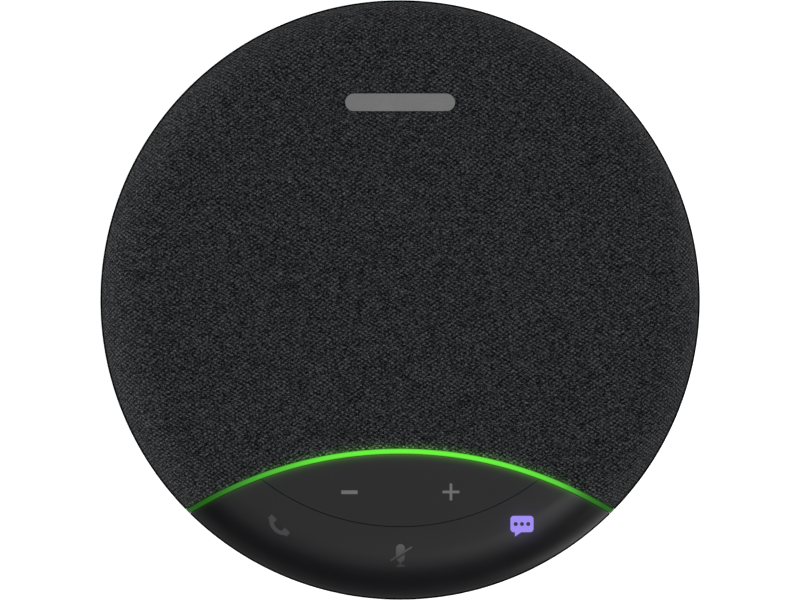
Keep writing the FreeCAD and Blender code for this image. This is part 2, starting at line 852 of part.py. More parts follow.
# ---------------------------------------------------------------- keypad board and mat
@piece
def keypad_board():
    plate = common(
        cyl(0, 0, tray_top, keypad_top, roll_circle + 6.6),
        arc_cyl(light_in - 1.6, 20.0, 40.0),
    )
    span = (25.0, 33.0)
    holes = cyls(keypad_spots, *span, dims.screw_shank + 0.1)
    holes += [wide_box(2.2, y0 - 0.3, y1 + 0.3, *span) for y0, y1 in LUGS]
    return cut(plate, holes)


screws("keypad_screws", keypad_spots, head_z=keypad_top, tip_z=dims.tray_low + 0.4,
       head_r=1.9, head_h=1.0, shank=0.85)


@piece
def keypad_mat():
    """Sheet with slots for the lugs, holes for screws and lights, and a dome under each key."""
    sheet_body = common(
        cyl(0, 0, keypad_top, mat_top, roll_circle + 5.9),
        arc_cyl(light_in - 3.0, 20.0, 40.0),
    )
    span = (25.0, 36.0)
    lug_slots = [(-53.4, -50.9), (-46.6, -44.5), (-36.6, -34.4)]  # front and rear y
    holes = cyls(keypad_spots, *span, 2.5)
    holes += [wide_box(2.4, y0, y1, *span) for y0, y1 in lug_slots]
    holes += cyls(key_led_spots, *span, 1.5)
    domes = []
    for name, (x, y) in DOMES.items():
        r_low, r_top = (2.1, 1.4) if name == "mute" else (2.6, 1.6)
        domes.append(cone(x, y, mat_top - 0.05, dims.dome_top, r_low, r_top))
    return fuse([cut(sheet_body, holes)] + domes)


keep(
    group([box_at(x, y, 0.8, 0.5, keypad_top, keypad_top + 0.7) for x, y in key_led_spots]),
    "key_leds",
)

# ---------------------------------------------------------------- icon prisms
ICON_SPAN = (35.2, 40.0)  # heights that cut right through the key caps


def icon_box(x, y, length, width, angle=0):
    return turned_box(x, y, length, width, *ICON_SPAN, angle)


def icon_disc(x, y, r):
    return cyl(x, y, *ICON_SPAN, r)


def handset_icon(x, y):
    """A bow with two thick ends, open side towards the rear and +X."""
    bow_x, bow_y = x + 1.28, y + 1.28
    bow_r, bow_half = 2.85, 0.42
    bow = cut(
        icon_disc(bow_x, bow_y, bow_r + bow_half),
        icon_disc(bow_x, bow_y, bow_r - bow_half),
    )
    # Only the quarter of the bow that faces the front and -X is kept.
    bow = common(bow, icon_box(bow_x - 2.45, bow_y - 2.45, 4.6, 4.55, 45))
    ends = [
        icon_box(x + dx, y + dy, 1.55, 1.1, 135) for dx, dy in ((-1.32, 1.42), (1.42, -1.32))
    ]
    return fuse([bow] + ends)


def crossed_mic_icon(x, y):
    """A microphone crossed out: capsule, stem and foot, with a clear band under the slash."""
    capsule_r, slash_width, slash_angle = 0.98, 0.42, 33
    microphone = fuse([
        icon_disc(x, y + 1.35, capsule_r),
        icon_box(x, y + 0.2, 2 * capsule_r, 2.3),
        icon_disc(x, y - 0.95, capsule_r),
        icon_box(x, y - 1.95, 0.5, 0.8),
        icon_box(x, y - 2.2, 1.65, 0.42),
    ])
    slash = icon_box(x + 0.08, y + 0.22, 4.9, slash_width, slash_angle)
    band = icon_box(x + 0.31, y - 0.13, 6.0, slash_width, slash_angle)
    return fuse([cut(microphone, band), slash])


def bubble_icon(x, y):
    """A speech bubble with rounded corners and a tail."""
    corners = [icon_disc(x + dx, y + dy, 0.7) for dy in (1.25, -0.75) for dx in (-1.7, 1.7)]
    tail = [(x - 1.5, y - 1.2), (x - 1.45, y - 2.35), (x + 0.2, y - 1.2)]
    return fuse(
        [icon_box(x, y + 0.25, 3.4, 3.4), icon_box(x, y + 0.25, 4.8, 2.0)]
        + corners
        + [pad(tail, *ICON_SPAN)]
    )


# ---------------------------------------------------------------- volume key
def volume_lens():
    """The lens between the seam circle in front and the light bar's arc behind."""
    seam_r = dims.seam_radius - dims.seam_gap / 2
    offset = dims.arc_offset
    tip_y = (key_arc * key_arc - seam_r * seam_r - offset * offset) / (2 * offset)
    tip_x = root(seam_r * seam_r - tip_y * tip_y)
    return pad([(-tip_x, tip_y), (tip_x, tip_y)], cap_under, dims.top_height,
               {0: (seam_r, 1), 1: (key_arc, 1)})


def volume_parts():
    """The rocking key with its pivot boss, dome posts and ribs, and the two inlaid signs."""
    plus_x, plus_y = 10.6, -40.15
    minus = icon_box(*DOMES["minus"], 3.5, 0.9)
    plus = fuse([icon_box(plus_x, plus_y, 3.5, 0.55), icon_box(plus_x, plus_y, 0.55, 3.5)])
    lens = volume_lens()
    root_top = cap_under + 0.1
    boss = wide_box(2.3, -44.7, -36.4, pivot - 1.5, root_top)
    posts = cyls([DOMES["minus"], DOMES["plus"]], post_low, root_top, 1.5)
    ribs = [box(x, x + 9.0, -38.6, -37.8, cap_under - 0.7, root_top) for x in (15.0, -24.0)]
    bore = ycyl(0, -46.0, -35.0, pivot, dims.pin_radius + dims.run_clear)
    keep(cut(fuse([lens, boss] + posts + ribs), [bore, minus, plus]), "volume_key")
    keep(common(fuse([lens] + posts), fuse([minus, plus])), "volume_icons")


volume_parts()


# ---------------------------------------------------------------- function key
def function_parts():
    """The skirted key cap with guide posts and a mute post, and its three inlaid signs."""
    bubble_x, bubble_y = 25.45, -46.95
    handset = handset_icon(-25.2, -47.05)
    crossed_mic = crossed_mic_icon(0.05, -53.3)
    bubble = bubble_icon(bubble_x, bubble_y)

    shell = common(dome_shell(0, dims.cap_wall, dims.skirt_low), arc_cyl(key_arc))
    shell = cut(shell, cyl(0, 0, 30.0, 45.0, dims.seam_radius + dims.seam_gap / 2))
    posts = cyls(guide_spots, 32.7, cap_under + 0.1, dims.guide_radius)
    posts.append(cyl(*DOMES["mute"], post_low, cap_under - 0.3, 1.3))
    solid = fuse([shell] + posts)
    keep(cut(solid, [handset, crossed_mic, bubble]), "function_key")
    # Inlays fill their windows in the cap wall, flush with its outer face.
    keep(common(solid, handset), "call_icon")
    keep(common(solid, crossed_mic), "mute_icon")
    # The dots of the speech bubble are blind dimples in the inlay.
    dots = [(bubble_x + dx, bubble_y + 0.25) for dx in (-1.3, 0.0, 1.3)]
    keep(cut(common(solid, bubble), cyls(dots, 36.9, 40.0, 0.42)), "meeting_icon")


function_parts()

# Plan outline of the cradle bar, (x, y).
CRADLE_OUTLINE = [
    (-28, -48.4), (-28, -45.9), (-22, -45.9), (-16, -47.6), (-3.2, -47.6), (-3.2, -46.4),
    (3.2, -46.4), (3.2, -47.6), (16, -47.6), (22, -45.9), (28, -45.9), (28, -48.4),
    (16, -51.2), (-16, -51.2),
]


@piece
def function_cradle():
    """Carries the function key: a bar with a pivot hub, guide bores and two feet."""
    low, high = pivot - 0.8, pivot + 0.9
    bar = pad(CRADLE_OUTLINE, low, high)
    hub = wide_box(2.6, -51.2, -46.4, pivot - 1.55, high)
    feet = cyls([DOMES["call"], DOMES["assistant"]], post_low, low + 0.1, 1.6)
    holes = cyls(guide_spots, 30.0, 38.0, dims.post_bore)
    holes.append(ycyl(0, -52.5, -45.5, pivot, dims.pin_radius + dims.run_clear))
    return cut(fuse([bar, hub] + feet), holes)


@piece
def front_bezel():
    """Fixed band below the function key's skirt."""
    band = side_ring(0, 1.9, dims.split_height + 0.02, dims.bezel_high)
    return common(band, arc_cyl(light_in - 0.12))


# ---------------------------------------------------------------- microphones
def microphone_boot(angle):
    x, y = polar(dims.mic_circle, angle)
    block = turned_box(x, y, 7.6, 8.4, 32.3, frame_under - 0.1, angle)
    pocket = turned_box(x, y, 6.2, 7.0, 32.2, 34.0, angle)
    return cut(block, fuse([pocket, cyl(x, y, 33.5, 37.0, 0.6)]))


def microphone_board(angle):
    x, y = polar(dims.mic_circle, angle)
    plate = turned_box(x, y, 6.0, 6.8, 32.9, 33.9, angle)
    can = turned_box(x, y, 3.6, 2.8, 32.32, 32.95, angle)
    return cut(fuse([plate, can]), cyl(x, y, 33.2, 35.0, 0.45))


keep(group([microphone_boot(angle) for angle in MIC_ANGLES]), "microphone_boots")
keep(group([microphone_board(angle) for angle in MIC_ANGLES]), "microphone_boards")


@piece
def microphone_flex():
    """A ring open at the front, with a tail down and inwards to the main board."""
    ring = tube(50.3, 52.4, 31.9, 32.2)
    front = wide_box(70, -70, -33.5, 30.0, 34.0)
    angle, width, thick, low = 30, 4.0, 0.2, main_top + 0.2
    drop = turned_box(*polar(51.4, angle), thick, width, low, 32.0, angle)
    run = turned_box(*polar(36.45, angle), 30.1, width, low, main_top + 0.4, angle)
    return fuse([cut(ring, front), drop, run])


# ---------------------------------------------------------------- speaker chamber and baffle
driver_y = dims.driver_shift
tub_in = dims.tub_radius - dims.tub_wall
tub_floor = dims.tub_low + dims.tub_wall
chamber_ears = polars(39.8, (0, 90, 180, 225, 315), driver_y)
driver_screw_spots = polars(32.9, (45, 135, 225, 315), driver_y)
EAR_RADIUS = 2.9


@piece
def speaker_chamber():
    """A round tub with screw ears and a hole in the floor for the driver leads."""
    outer_round, inner_round = 2.0, 1.0
    tub = revolve(
        [
            (0, dims.tub_low),
            (dims.tub_radius - outer_round, dims.tub_low),
            (dims.tub_radius, dims.tub_low + outer_round),
            (dims.tub_radius, dims.tub_high),
            (tub_in, dims.tub_high),
            (tub_in, tub_floor + inner_round),
            (tub_in - inner_round, tub_floor),
            (0, tub_floor),
        ],
        {1: (outer_round, 1), 5: (inner_round, -1)},
        driver_y,
    )
    ears = cyls(chamber_ears, dims.tub_high - 7.0, dims.tub_high + 0.35, EAR_RADIUS)
    cuts = cyls(chamber_ears, dims.tub_high - 5.5, dims.tub_high + 1, dims.screw_shank - 0.1)
    # The ears are trimmed off the inside of the tub.
    cuts.append(cyl(0, driver_y, tub_floor + 0.2, dims.baffle_low + 1, tub_in - 0.01))
    cuts.append(cyl(24.0, 14.0, 10.0, 16.0, 1.6))
    return cut(fuse([tub] + ears), cuts)


keep(
    tube(tub_in + 0.2, dims.tub_radius - 0.3, dims.tub_high + 0.01, dims.baffle_low - 0.01,
         driver_y),
    "chamber_seal",
)


@piece
def speaker_baffle():
    low, high = dims.baffle_low, dims.baffle_high
    plate = pad(None, low, high, circles=[(0, driver_y, dims.tub_radius)])
    ears = cyls(chamber_ears, low, high, EAR_RADIUS)
    cuts = [cyl(0, driver_y, 20.0, 40.0, 28.8)]
    cuts += cyls(chamber_ears, 20.0, 40.0, dims.screw_shank + 0.15)
    cuts += cyls(driver_screw_spots, low - 1, high + 1, dims.screw_shank - 0.1)
    return cut(fuse([plate] + ears), cuts)


screws("baffle_screws", chamber_ears, head_z=dims.baffle_high, tip_z=dims.tub_high - 5.0,
       head_r=2.1, head_h=1.3, shank=0.98)
screws("driver_screws", driver_screw_spots, head_z=32.22, tip_z=dims.baffle_low + 0.1,
       head_r=2.0, head_h=1.2, shank=0.98)

# ---------------------------------------------------------------- full-range driver
# Turned outlines are lists of (radius, height) about the driver's axis.
PLATE_LOW, PLATE_TOP = 19.4, 21.0  # magnet's top plate
MAGNET_LOW = 16.2


@piece
def driver_basket():
    flange_low, flange_top = dims.baffle_high, dims.baffle_high + 1.2
    bowl = revolve(
        [
            (8.8, PLATE_TOP), (19.2, PLATE_TOP), (28.4, flange_low),
            (dims.driver_radius, flange_low), (dims.driver_radius, flange_top),
            (28.0, flange_top), (21.2, 24.0), (19.7, 24.0), (18.5, 21.9), (8.8, 21.9),
        ],
        y=driver_y,
    )
    # Three bars across the bowl open six windows.
    bars = [turned_box(0, driver_y, 70.0, 9.0, 24.4, 29.6, angle) for angle in (30, 90, 150)]
    return cut(bowl, fuse(bars))


keep(tube(8.5, 17.8, PLATE_LOW, PLATE_TOP, driver_y), "driver_top_plate")
keep(tube(9.8, 17.2, MAGNET_LOW, PLATE_LOW, driver_y), "driver_magnet")

YOKE_OUTLINE = [
    (0, 14.8), (17.4, 14.8), (17.8, 15.2), (17.8, MAGNET_LOW),
    (7.3, MAGNET_LOW), (7.3, 20.6), (6.9, PLATE_TOP), (0, PLATE_TOP),
]
COIL_OUTLINE = [
    (7.65, 18.2), (7.8, 18.2), (7.8, 18.6), (8.2, 18.6),
    (8.2, 21.8), (7.8, 21.8), (7.8, 26.1), (7.65, 26.1),
]
CONE_OUTLINE = [(7.82, 25.1), (24.2, 31.25), (24.2, 31.75), (7.82, 25.6)]
SURROUND_OUTLINE = [
    (23.0, 31.8), (24.6, 31.8), (28.4, 32.24), (30.2, 32.24),
    (30.2, 32.7), (28.6, 32.7), (24.4, 32.28), (23.0, 32.28),
]
# Underside of the corrugated spider.
SPIDER_WAVES = [
    (7.85, 23.9), (9.9, 24.5), (11.7, 23.5), (13.5, 24.5),
    (15.3, 23.5), (17.1, 24.5), (19.0, 24.02), (20.9, 24.02),
]
SPIDER_THICK = 0.35

keep(revolve(YOKE_OUTLINE, y=driver_y), "driver_yoke")
keep(revolve(COIL_OUTLINE, y=driver_y), "voice_coil")
keep(revolve(CONE_OUTLINE, y=driver_y), "speaker_cone")


@piece
def dust_cap():
    """A slice of a thin sphere."""
    radius, top, thick = 17.092, 29.1, 0.4
    outer = ball(0, driver_y, top - radius, radius)
    inner = ball(0, driver_y, top - thick - radius, radius)
    return common(cut(outer, inner), cyl(0, driver_y, 26.21, 30.0, 8.9))


keep(revolve(SURROUND_OUTLINE, {1: (2.0, -1), 5: (2.36, 1)}, driver_y), "cone_surround")
spider_top = [(r, z + SPIDER_THICK) for r, z in reversed(SPIDER_WAVES)]
keep(revolve(SPIDER_WAVES + spider_top, y=driver_y), "spider")
keep(tube(28.9, 30.8, 32.75, frame_under - 0.05, driver_y), "driver_gasket")


# ---------------------------------------------------------------- leads and ribbon cable
def lead(points, radius):
    """A round lead along a chain of points, each corner rounded by an arc."""
    bend = 1.6  # how far from a corner the straight runs stop
    points = [Vector(*point) for point in points]
    edges = []
    for i, (corner, after) in enumerate(zip(points, points[1:])):
        step = (after - corner).normalize() * bend
        start = corner if i == 0 else corner + step
        end = after if i == len(points) - 2 else after - step
        if edges:
            middle = corner * 0.5 + (last + start) * 0.25
            edges.append(Part.Arc(last, middle, start).toShape())
        edges.append(Part.LineSegment(start, end).toShape())
        last = end
    way = (points[1] - points[0]).normalize()
    profile = Part.Wire(Part.Circle(points[0], way, radius).toShape())
    return Part.Wire(edges).makePipeShell([profile], True, False)


def keep_shapes(shapes, label):
    """Keep plain shapes as one compound."""
    obj = doc.addObject("Part::Feature", fresh("feature"))
    obj.Shape = Part.makeCompound(shapes)
    keep(obj, label)


def driver_lead(shift, y):
    """From the main board, under the chamber, up through its floor and a little to -X."""
    low, run, top = main_top.value + 2.62, 11.75, 23.4
    return lead(
        [
            (6.5 + shift, -0.4, low),
            (6.5 + shift, -0.4, run),
            (24.0 + shift, y, run),
            (24.0 + shift, y, top),
            (21.9 + shift, y - 0.4, top),
        ],
        0.45,
    )


keep_shapes([driver_lead(-0.7, 14.8), driver_lead(0.7, 13.2)], "driver_leads")


@piece
def keypad_ribbon():
    """A flat cable down from the key tray, over the battery and down to the main board."""
    x0, x1, thick = -18.0, -10.0, 0.2
    front, rear, top = -36.25, 0.9, 11.85
    return fuse([
        box(x0, x1, front, front + thick, top, tray_top - 0.02),
        box(x0, x1, front, rear, top - thick, top),
        box(x0, x1, rear - thick, rear, main_top + 0.02, top),
    ])


keep_shapes(
    [Part.makeCylinder(0.5, 4.3, Vector(x, -6.95, 9.0), Vector(0, 1, 0)) for x in (5.8, 7.2)],
    "battery_leads",
)

# ---------------------------------------------------------------- check and write
doc.recompute()
bad = []
for obj in doc.Objects:
    if any(state in ("Invalid", "Error") for state in obj.State):
        bad.append("%s (%s): %s" % (obj.Label, obj.TypeId, obj.State))
for label, obj in parts.items():
    shape = obj.Shape
    if shape.isNull() or not shape.isValid() or not shape.Solids:
        bad.append("%s: null, invalid or without solids" % label)
if bad:
    raise RuntimeError("objects that did not build:\n" + "\n".join(bad))
os.makedirs("parts", exist_ok=True)
for label, obj in parts.items():
    obj.Shape.exportStep("parts/%s.step" % label)
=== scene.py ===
"""A round speakerphone, standing upright on its foot with its axis on z and the table at z = 0.

The keys and their signs lie toward -y. A lit bar curves across the top and down both sides
between the keys and the cloth, which covers the +y part. Lengths are in millimetres, except
where a comment says metres; meshes are scaled to metres as they are made.
"""
import bpy
import bmesh
import json
import math
import numpy as np
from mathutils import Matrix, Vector

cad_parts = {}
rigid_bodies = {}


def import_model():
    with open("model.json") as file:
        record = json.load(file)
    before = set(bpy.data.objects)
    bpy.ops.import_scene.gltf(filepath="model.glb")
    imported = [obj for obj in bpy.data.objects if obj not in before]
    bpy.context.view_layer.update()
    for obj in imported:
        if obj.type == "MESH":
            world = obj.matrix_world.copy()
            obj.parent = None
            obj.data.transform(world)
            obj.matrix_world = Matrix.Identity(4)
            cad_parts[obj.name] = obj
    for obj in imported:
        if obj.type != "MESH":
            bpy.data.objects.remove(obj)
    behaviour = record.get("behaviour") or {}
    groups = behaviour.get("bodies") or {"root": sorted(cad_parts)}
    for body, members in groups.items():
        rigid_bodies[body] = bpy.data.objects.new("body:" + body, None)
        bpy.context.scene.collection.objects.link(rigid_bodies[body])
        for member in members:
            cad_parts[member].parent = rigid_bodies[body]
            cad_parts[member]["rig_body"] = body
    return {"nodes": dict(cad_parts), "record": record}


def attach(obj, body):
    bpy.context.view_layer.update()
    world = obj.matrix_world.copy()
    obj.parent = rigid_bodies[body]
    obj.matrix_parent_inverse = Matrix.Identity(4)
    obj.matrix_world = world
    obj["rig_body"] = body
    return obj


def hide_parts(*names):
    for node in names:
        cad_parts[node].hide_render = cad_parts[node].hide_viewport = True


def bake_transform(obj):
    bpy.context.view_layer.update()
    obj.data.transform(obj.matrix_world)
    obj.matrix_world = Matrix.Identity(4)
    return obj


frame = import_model()
NODES = frame["nodes"]
SLOT = {part["node"]: part["material_slot"] for part in frame["record"]["subparts"]}
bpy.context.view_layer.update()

# ---------------------------------------------------------------- outer form
MM = 0.001                    # metres in a millimetre
FLAT_R = 52.5                 # radius of the flat top
ROLL_R = 10.0                 # radius of the roll from the top into the side
WIDE_Z = 28.0                 # height of the widest line
TOP_Z = WIDE_Z + ROLL_R
TAPER = math.radians(8.0)     # inward lean of the side below the roll
SPLIT_Z = 15.0                # height at which cloth and light bar give way to the base
SEAM_R = 47.13                # radius of the seam between the two keys

ROLL_ANGLE = math.pi / 2 + TAPER
ROLL_END = FLAT_R + ROLL_R * ROLL_ANGLE    # distance along the form from the middle of the top
ROLL_END_Z = WIDE_Z + ROLL_R * math.cos(ROLL_ANGLE)

# The light bar's plan is an arc about a centre on the -y side.
BAR_CENTRE = 115.15           # distance of that centre from the axis
BAR_R = 83.7075
BAR_W = 1.095
BAR_IN_R, BAR_OUT_R = BAR_R - BAR_W / 2, BAR_R + BAR_W / 2


def along_at(z):
    """Distance along the outer form to a height on its tapered side."""
    return ROLL_END + (ROLL_END_Z - z) / math.cos(TAPER)


def profile(along):
    """Radius, height and normal (outward, upward) at a distance along the form from the middle."""
    along = np.asarray(along, float)
    angle = np.clip((along - FLAT_R) / ROLL_R, 0, ROLL_ANGLE)
    down = np.maximum(along - ROLL_END, 0)
    radius = np.minimum(along, FLAT_R) + ROLL_R * np.sin(angle) - down * math.sin(TAPER)
    z = WIDE_Z + ROLL_R * np.cos(angle) - down * math.cos(TAPER)
    return radius, z, np.sin(angle), np.cos(angle)


def surface(along, theta):
    """Points and normals of the outer form at angles about the axis."""
    radius, z, outward, upward = profile(along)
    cosine, sine = np.cos(theta), np.sin(theta)
    points = np.stack([radius * cosine, radius * sine, z + 0 * cosine], -1)
    normals = np.stack([outward * cosine, outward * sine, upward + 0 * cosine], -1)
    return points, normals


def along_of(points):
    """Distance along the outer form of points on it."""
    radius = np.hypot(points[:, 0], points[:, 1])
    angle = np.arctan2(np.maximum(radius - FLAT_R, 0), points[:, 2] - WIDE_Z)
    roll = FLAT_R + ROLL_R * np.clip(angle, 0, ROLL_ANGLE)
    side = along_at(points[:, 2])
    return np.where(radius <= FLAT_R, radius, np.where(points[:, 2] < ROLL_END_Z, side, roll))


def height_at(x, y):
    """Height of the outer form over a point of the keys."""
    return WIDE_Z + np.sqrt(ROLL_R**2 - np.clip(np.hypot(x, y) - FLAT_R, 0, ROLL_R) ** 2)


def theta_at(arc_radius, radius):
    """Angle on the +x side where a circle of the case meets a circle about the bar's centre."""
    sine = (arc_radius**2 - radius**2 - BAR_CENTRE**2) / (2 * radius * BAR_CENTRE)
    return np.arcsin(np.clip(sine, -1, 1))


def round_edge(edge_radius, *distances):
    """Drop of a surface at distances from its edges, each rounded with the given radius."""
    reach = [np.maximum(0.0, edge_radius - np.asarray(d, float)) ** 2 for d in distances]
    inset = np.minimum(np.sqrt(sum(reach)), edge_radius)
    return edge_radius - np.sqrt(np.maximum(edge_radius**2 - inset**2, 0))


# ---------------------------------------------------------------- mesh helpers
def grid_faces(rows, cols, base=0, flip=False):
    """Quads of a grid whose points are stored row by row from index base."""
    faces = []
    for i in range(rows - 1):
        for j in range(cols - 1):
            start = base + i * cols + j
            after = start + cols
            quad = (start, start + 1, after + 1, after)
            faces.append((quad[0], *quad[:0:-1]) if flip else quad)
    return faces


def add_object(name, mesh):
    obj = bpy.data.objects.new(name, mesh)
    bpy.context.scene.collection.objects.link(obj)
    return obj


def piece(name, verts, faces, material, body, replaced, uv=None):
    """A smooth object from points in millimetres, standing in for a CAD node."""
    points = np.asarray(verts, float) * MM
    mesh = bpy.data.meshes.new(name)
    mesh.from_pydata([tuple(p) for p in points], [], [tuple(int(k) for k in f) for f in faces])
    mesh.validate()
    if uv is not None:
        layer = mesh.uv_layers.new(name="UVMap")
        corners = np.zeros(len(mesh.loops), np.int32)
        mesh.loops.foreach_get("vertex_index", corners)
        layer.data.foreach_set("uv", np.asarray(uv, np.float32)[corners].ravel())
    mesh.polygons.foreach_set("use_smooth", [True] * len(mesh.polygons))
    mesh.materials.append(material)
    mesh.update()
    obj = add_object(name, mesh)
    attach(obj, body)
    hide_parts(replaced)
    return obj


# ---------------------------------------------------------------- shader nodes
class Material:
    """A material with a Principled shader, and short calls for the nodes that feed it."""

    def __init__(self, name):
        self.data = bpy.data.materials.new(name)
        self.data.use_nodes = True
        self.tree = self.data.node_tree
        self.tree.nodes.clear()
        self.output = self.node("OutputMaterial")
        self.shader = self.node("BsdfPrincipled")
        self.plug(self.output.inputs[0], self.shader.outputs[0])

    def plug(self, socket, value):
        """Links a socket to another, or sets its value; None leaves it as it is."""
        if isinstance(value, bpy.types.NodeSocket):
            self.tree.links.new(value, socket)
        elif value is not None:
            socket.default_value = value

    def node(self, kind, inputs=(), **settings):
        node = self.tree.nodes.new("ShaderNode" + kind)
        for key, value in settings.items():
            setattr(node, key, value)
        for key, value in dict(inputs).items():
            self.plug(node.inputs[key], value)
        return node

    def feed(self, inputs):
        """Sets or links inputs of the Principled shader."""
        for key, value in inputs.items():
            self.plug(self.shader.inputs[key], value)

    # Numbers
    def math(self, operation, *values):
        return self.node("Math", enumerate(values), operation=operation).outputs[0]

    def mul(self, value, *others):
        for other in others:
            value = self.math("MULTIPLY", value, other)
        return value

    def add(self, value, *others):
        for other in others:
            value = self.math("ADD", value, other)
        return value

    def sub(self, value, other):
        return self.math("SUBTRACT", value, other)

    def centred(self, value):
        return self.sub(value, 0.5)

    def exp(self, value):
        return self.math("POWER", 2.71828, value)

    def hypot(self, x, y):
        return self.math("SQRT", self.add(self.mul(x, x), self.mul(y, y)))

    def select(self, share, first, second):
        """The first value where share is 1, the second where it is 0."""
        return self.add(self.mul(first, share), self.mul(second, self.sub(1.0, share)))

    def remap(self, value, span, onto=(0.0, 1.0)):
        """Maps one span onto another and clamps to its ends."""
        names = ("Value", "From Min", "From Max", "To Min", "To Max")
        return self.node("MapRange", zip(names, (value, *span, *onto))).outputs["Result"]

    def vary(self, noise, low, high):
        """Spreads the usual range of a noise from low to high."""
        return self.remap(noise, (0.3, 0.7), (low, high))

    def ramp(self, value, stops, interpolation="LINEAR"):
        """A curve through stops of (place, level)."""
        node = self.node("ValToRGB", {0: value})
        node.color_ramp.interpolation = interpolation
        elements = node.color_ramp.elements
        while len(elements) < len(stops):
            elements.new(0.5)
        for k, (place, level) in enumerate(stops):
            elements[k].position = place
            elements[k].color = (level, level, level, 1)
        return node.outputs[0]

    # Vectors and colours
    def vector_math(self, operation, *vectors):
        node = self.node("VectorMath", enumerate(vectors), operation=operation)
        return node.outputs["Value" if operation == "LENGTH" else "Vector"]

    def scale(self, vector, factor):
        inputs = {0: vector, "Scale": factor}
        return self.node("VectorMath", inputs, operation="SCALE").outputs["Vector"]

    def xyz(self, vector):
        return self.node("SeparateXYZ", {0: vector}).outputs

    def join(self, x, y, z):
        return self.node("CombineXYZ", {0: x, 1: y, 2: z}).outputs[0]

    def shaded(self, colour, factor):
        return self.vector_math("MULTIPLY", colour, self.join(factor, factor, factor))

    def mix(self, share, first, second, blend="MIX"):
        first, second = [(*c, 1) if isinstance(c, tuple) else c for c in (first, second)]
        inputs = {0: share, 6: first, 7: second}
        return self.node("Mix", inputs, data_type="RGBA", blend_type=blend).outputs[2]

    # Textures
    def noise(self, vector, scale, detail=2.0, rough=0.5, stretch=None):
        if stretch is not None:
            vector = self.vector_math("MULTIPLY", vector, stretch)
        inputs = {"Vector": vector, "Scale": scale, "Detail": detail, "Roughness": rough}
        return self.node("TexNoise", inputs).outputs["Fac"]

    def white(self, vector):
        return self.node("TexWhiteNoise", {"Vector": vector}).outputs["Value"]

    def voronoi(self, vector, scale):
        return self.node("TexVoronoi", {"Vector": vector, "Scale": scale}).outputs["Distance"]

    def bump(self, height, strength, distance, normal=None):
        """Surface relief; distance is in metres."""
        inputs = {"Normal": normal, "Strength": strength, "Distance": distance, "Height": height}
        return self.node("Bump", inputs).outputs[0]

    # Places
    def position(self):
        """The shaded point in millimetres."""
        return self.scale(self.node("NewGeometry").outputs["Position"], 1000.0)

    def facing(self):
        """0 where the surface faces the viewer, 1 where it is edge-on."""
        return self.node("LayerWeight", {"Blend": 0.5}).outputs["Facing"]

    def rim_shade(self, low, high):
        """Painted shade: 1, falling to 0 on the last sliver of the case's widest line as seen from
        above.
        """
        geometry = self.node("NewGeometry").outputs
        tilt = self.xyz(geometry["True Normal"])[2]
        upright = self.mul(
            self.remap(tilt, (0.27, 0.32), (1.0, 0.0)),
            self.remap(tilt, (-0.03, 0.0)),
        )
        above = self.remap(self.xyz(geometry["Incoming"])[2], (0.86, 0.94))
        sliver = self.mul(upright, above, self.remap(self.facing(), (low, high)))
        return self.sub(1.0, sliver)

    def eased_roll(self, pos):
        """Shading normal of a roll that starts earlier and more gently than the plain arc."""
        normal = self.node("NewGeometry").outputs["Normal"]
        point = self.xyz(pos)
        flat = self.join(point[0], point[1], 0.0)
        place = self.remap(self.vector_math("LENGTH", flat), EASE_SPAN)
        tilt = self.mul(self.centred(self.ramp(place, ROLL_EASE, "B_SPLINE")), EASE_TILT)
        outward = self.scale(self.vector_math("NORMALIZE", flat), tilt)
        return self.vector_math("NORMALIZE", self.vector_math("ADD", normal, outward))


EASE_SPAN = (46.0, 62.0)      # radii between which the keys' normal is tilted
EASE_TILT = 0.2               # tilt for a full step of the curve below
# Place across that span, tilt (0.5 is none, more leans outward)
ROLL_EASE = [
    (0.0, 0.5), (0.125, 0.5), (0.25, 0.63), (0.375, 0.80), (0.4375, 0.88),
    (0.5, 0.84), (0.5625, 0.68), (0.625, 0.53), (0.6875, 0.42), (0.7625, 0.38),
    (0.8375, 0.44), (0.906, 0.5), (1.0, 0.5),
]

BAR_SPAN = 100.0              # width in x that the levels below cover
# Place from -x to +x across that width, brightness of the bar
BAR_LEVELS = [
    (0.000, 0.06), (0.083, 0.116), (0.125, 0.162), (0.166, 0.298), (0.208, 0.441),
    (0.271, 0.641), (0.333, 0.849), (0.417, 0.953), (0.500, 1.0), (0.583, 0.99),
    (0.667, 0.953), (0.729, 0.91), (0.792, 0.792), (0.834, 0.65), (0.860, 0.42),
    (0.878, 0.258), (0.917, 0.135), (1.000, 0.06),
]
# Depth in from the bar's edge as a share of BAR_RIM, brightness
BAR_RIM = 0.3
BAR_RIM_LEVELS = [(0.0, 0.28), (0.35, 0.72), (0.7, 0.96), (1.0, 1.0)]


def bar_distance(mat, pos):
    """Distance from the light bar's nearer edge; negative on the bar."""
    point = mat.xyz(pos)
    radius = mat.hypot(point[0], mat.add(point[1], BAR_CENTRE))
    return mat.sub(mat.math("ABSOLUTE", mat.sub(radius, BAR_R)), BAR_W / 2)


def bar_level(mat, pos):
    """Brightness of the light bar at a point's x."""
    return mat.ramp(mat.math("MULTIPLY_ADD", mat.xyz(pos)[0], 1 / BAR_SPAN, 0.5), BAR_LEVELS)


def bar_glow(mat, pos, strength, reach):
    """Painted light: the bar's spill on what lies beside it, fading over reach and down the side.
    """
    distance = mat.math("MAXIMUM", bar_distance(mat, pos), 0.0)
    fall = mat.exp(mat.math("DIVIDE", distance, -reach))
    lower = mat.remap(mat.xyz(pos)[2], (18.0, 30.0), (0.15, 1.0))
    return mat.mul(fall, strength, bar_level(mat, pos), lower)


# ---------------------------------------------------------------- materials
# Yarns per millimetre along the cloth's u and v, for each of two families that cross
YARN_P = (0.762, -1.055)
YARN_Q = (-0.681, -1.184)
CLOTH_GREY = 0.0172
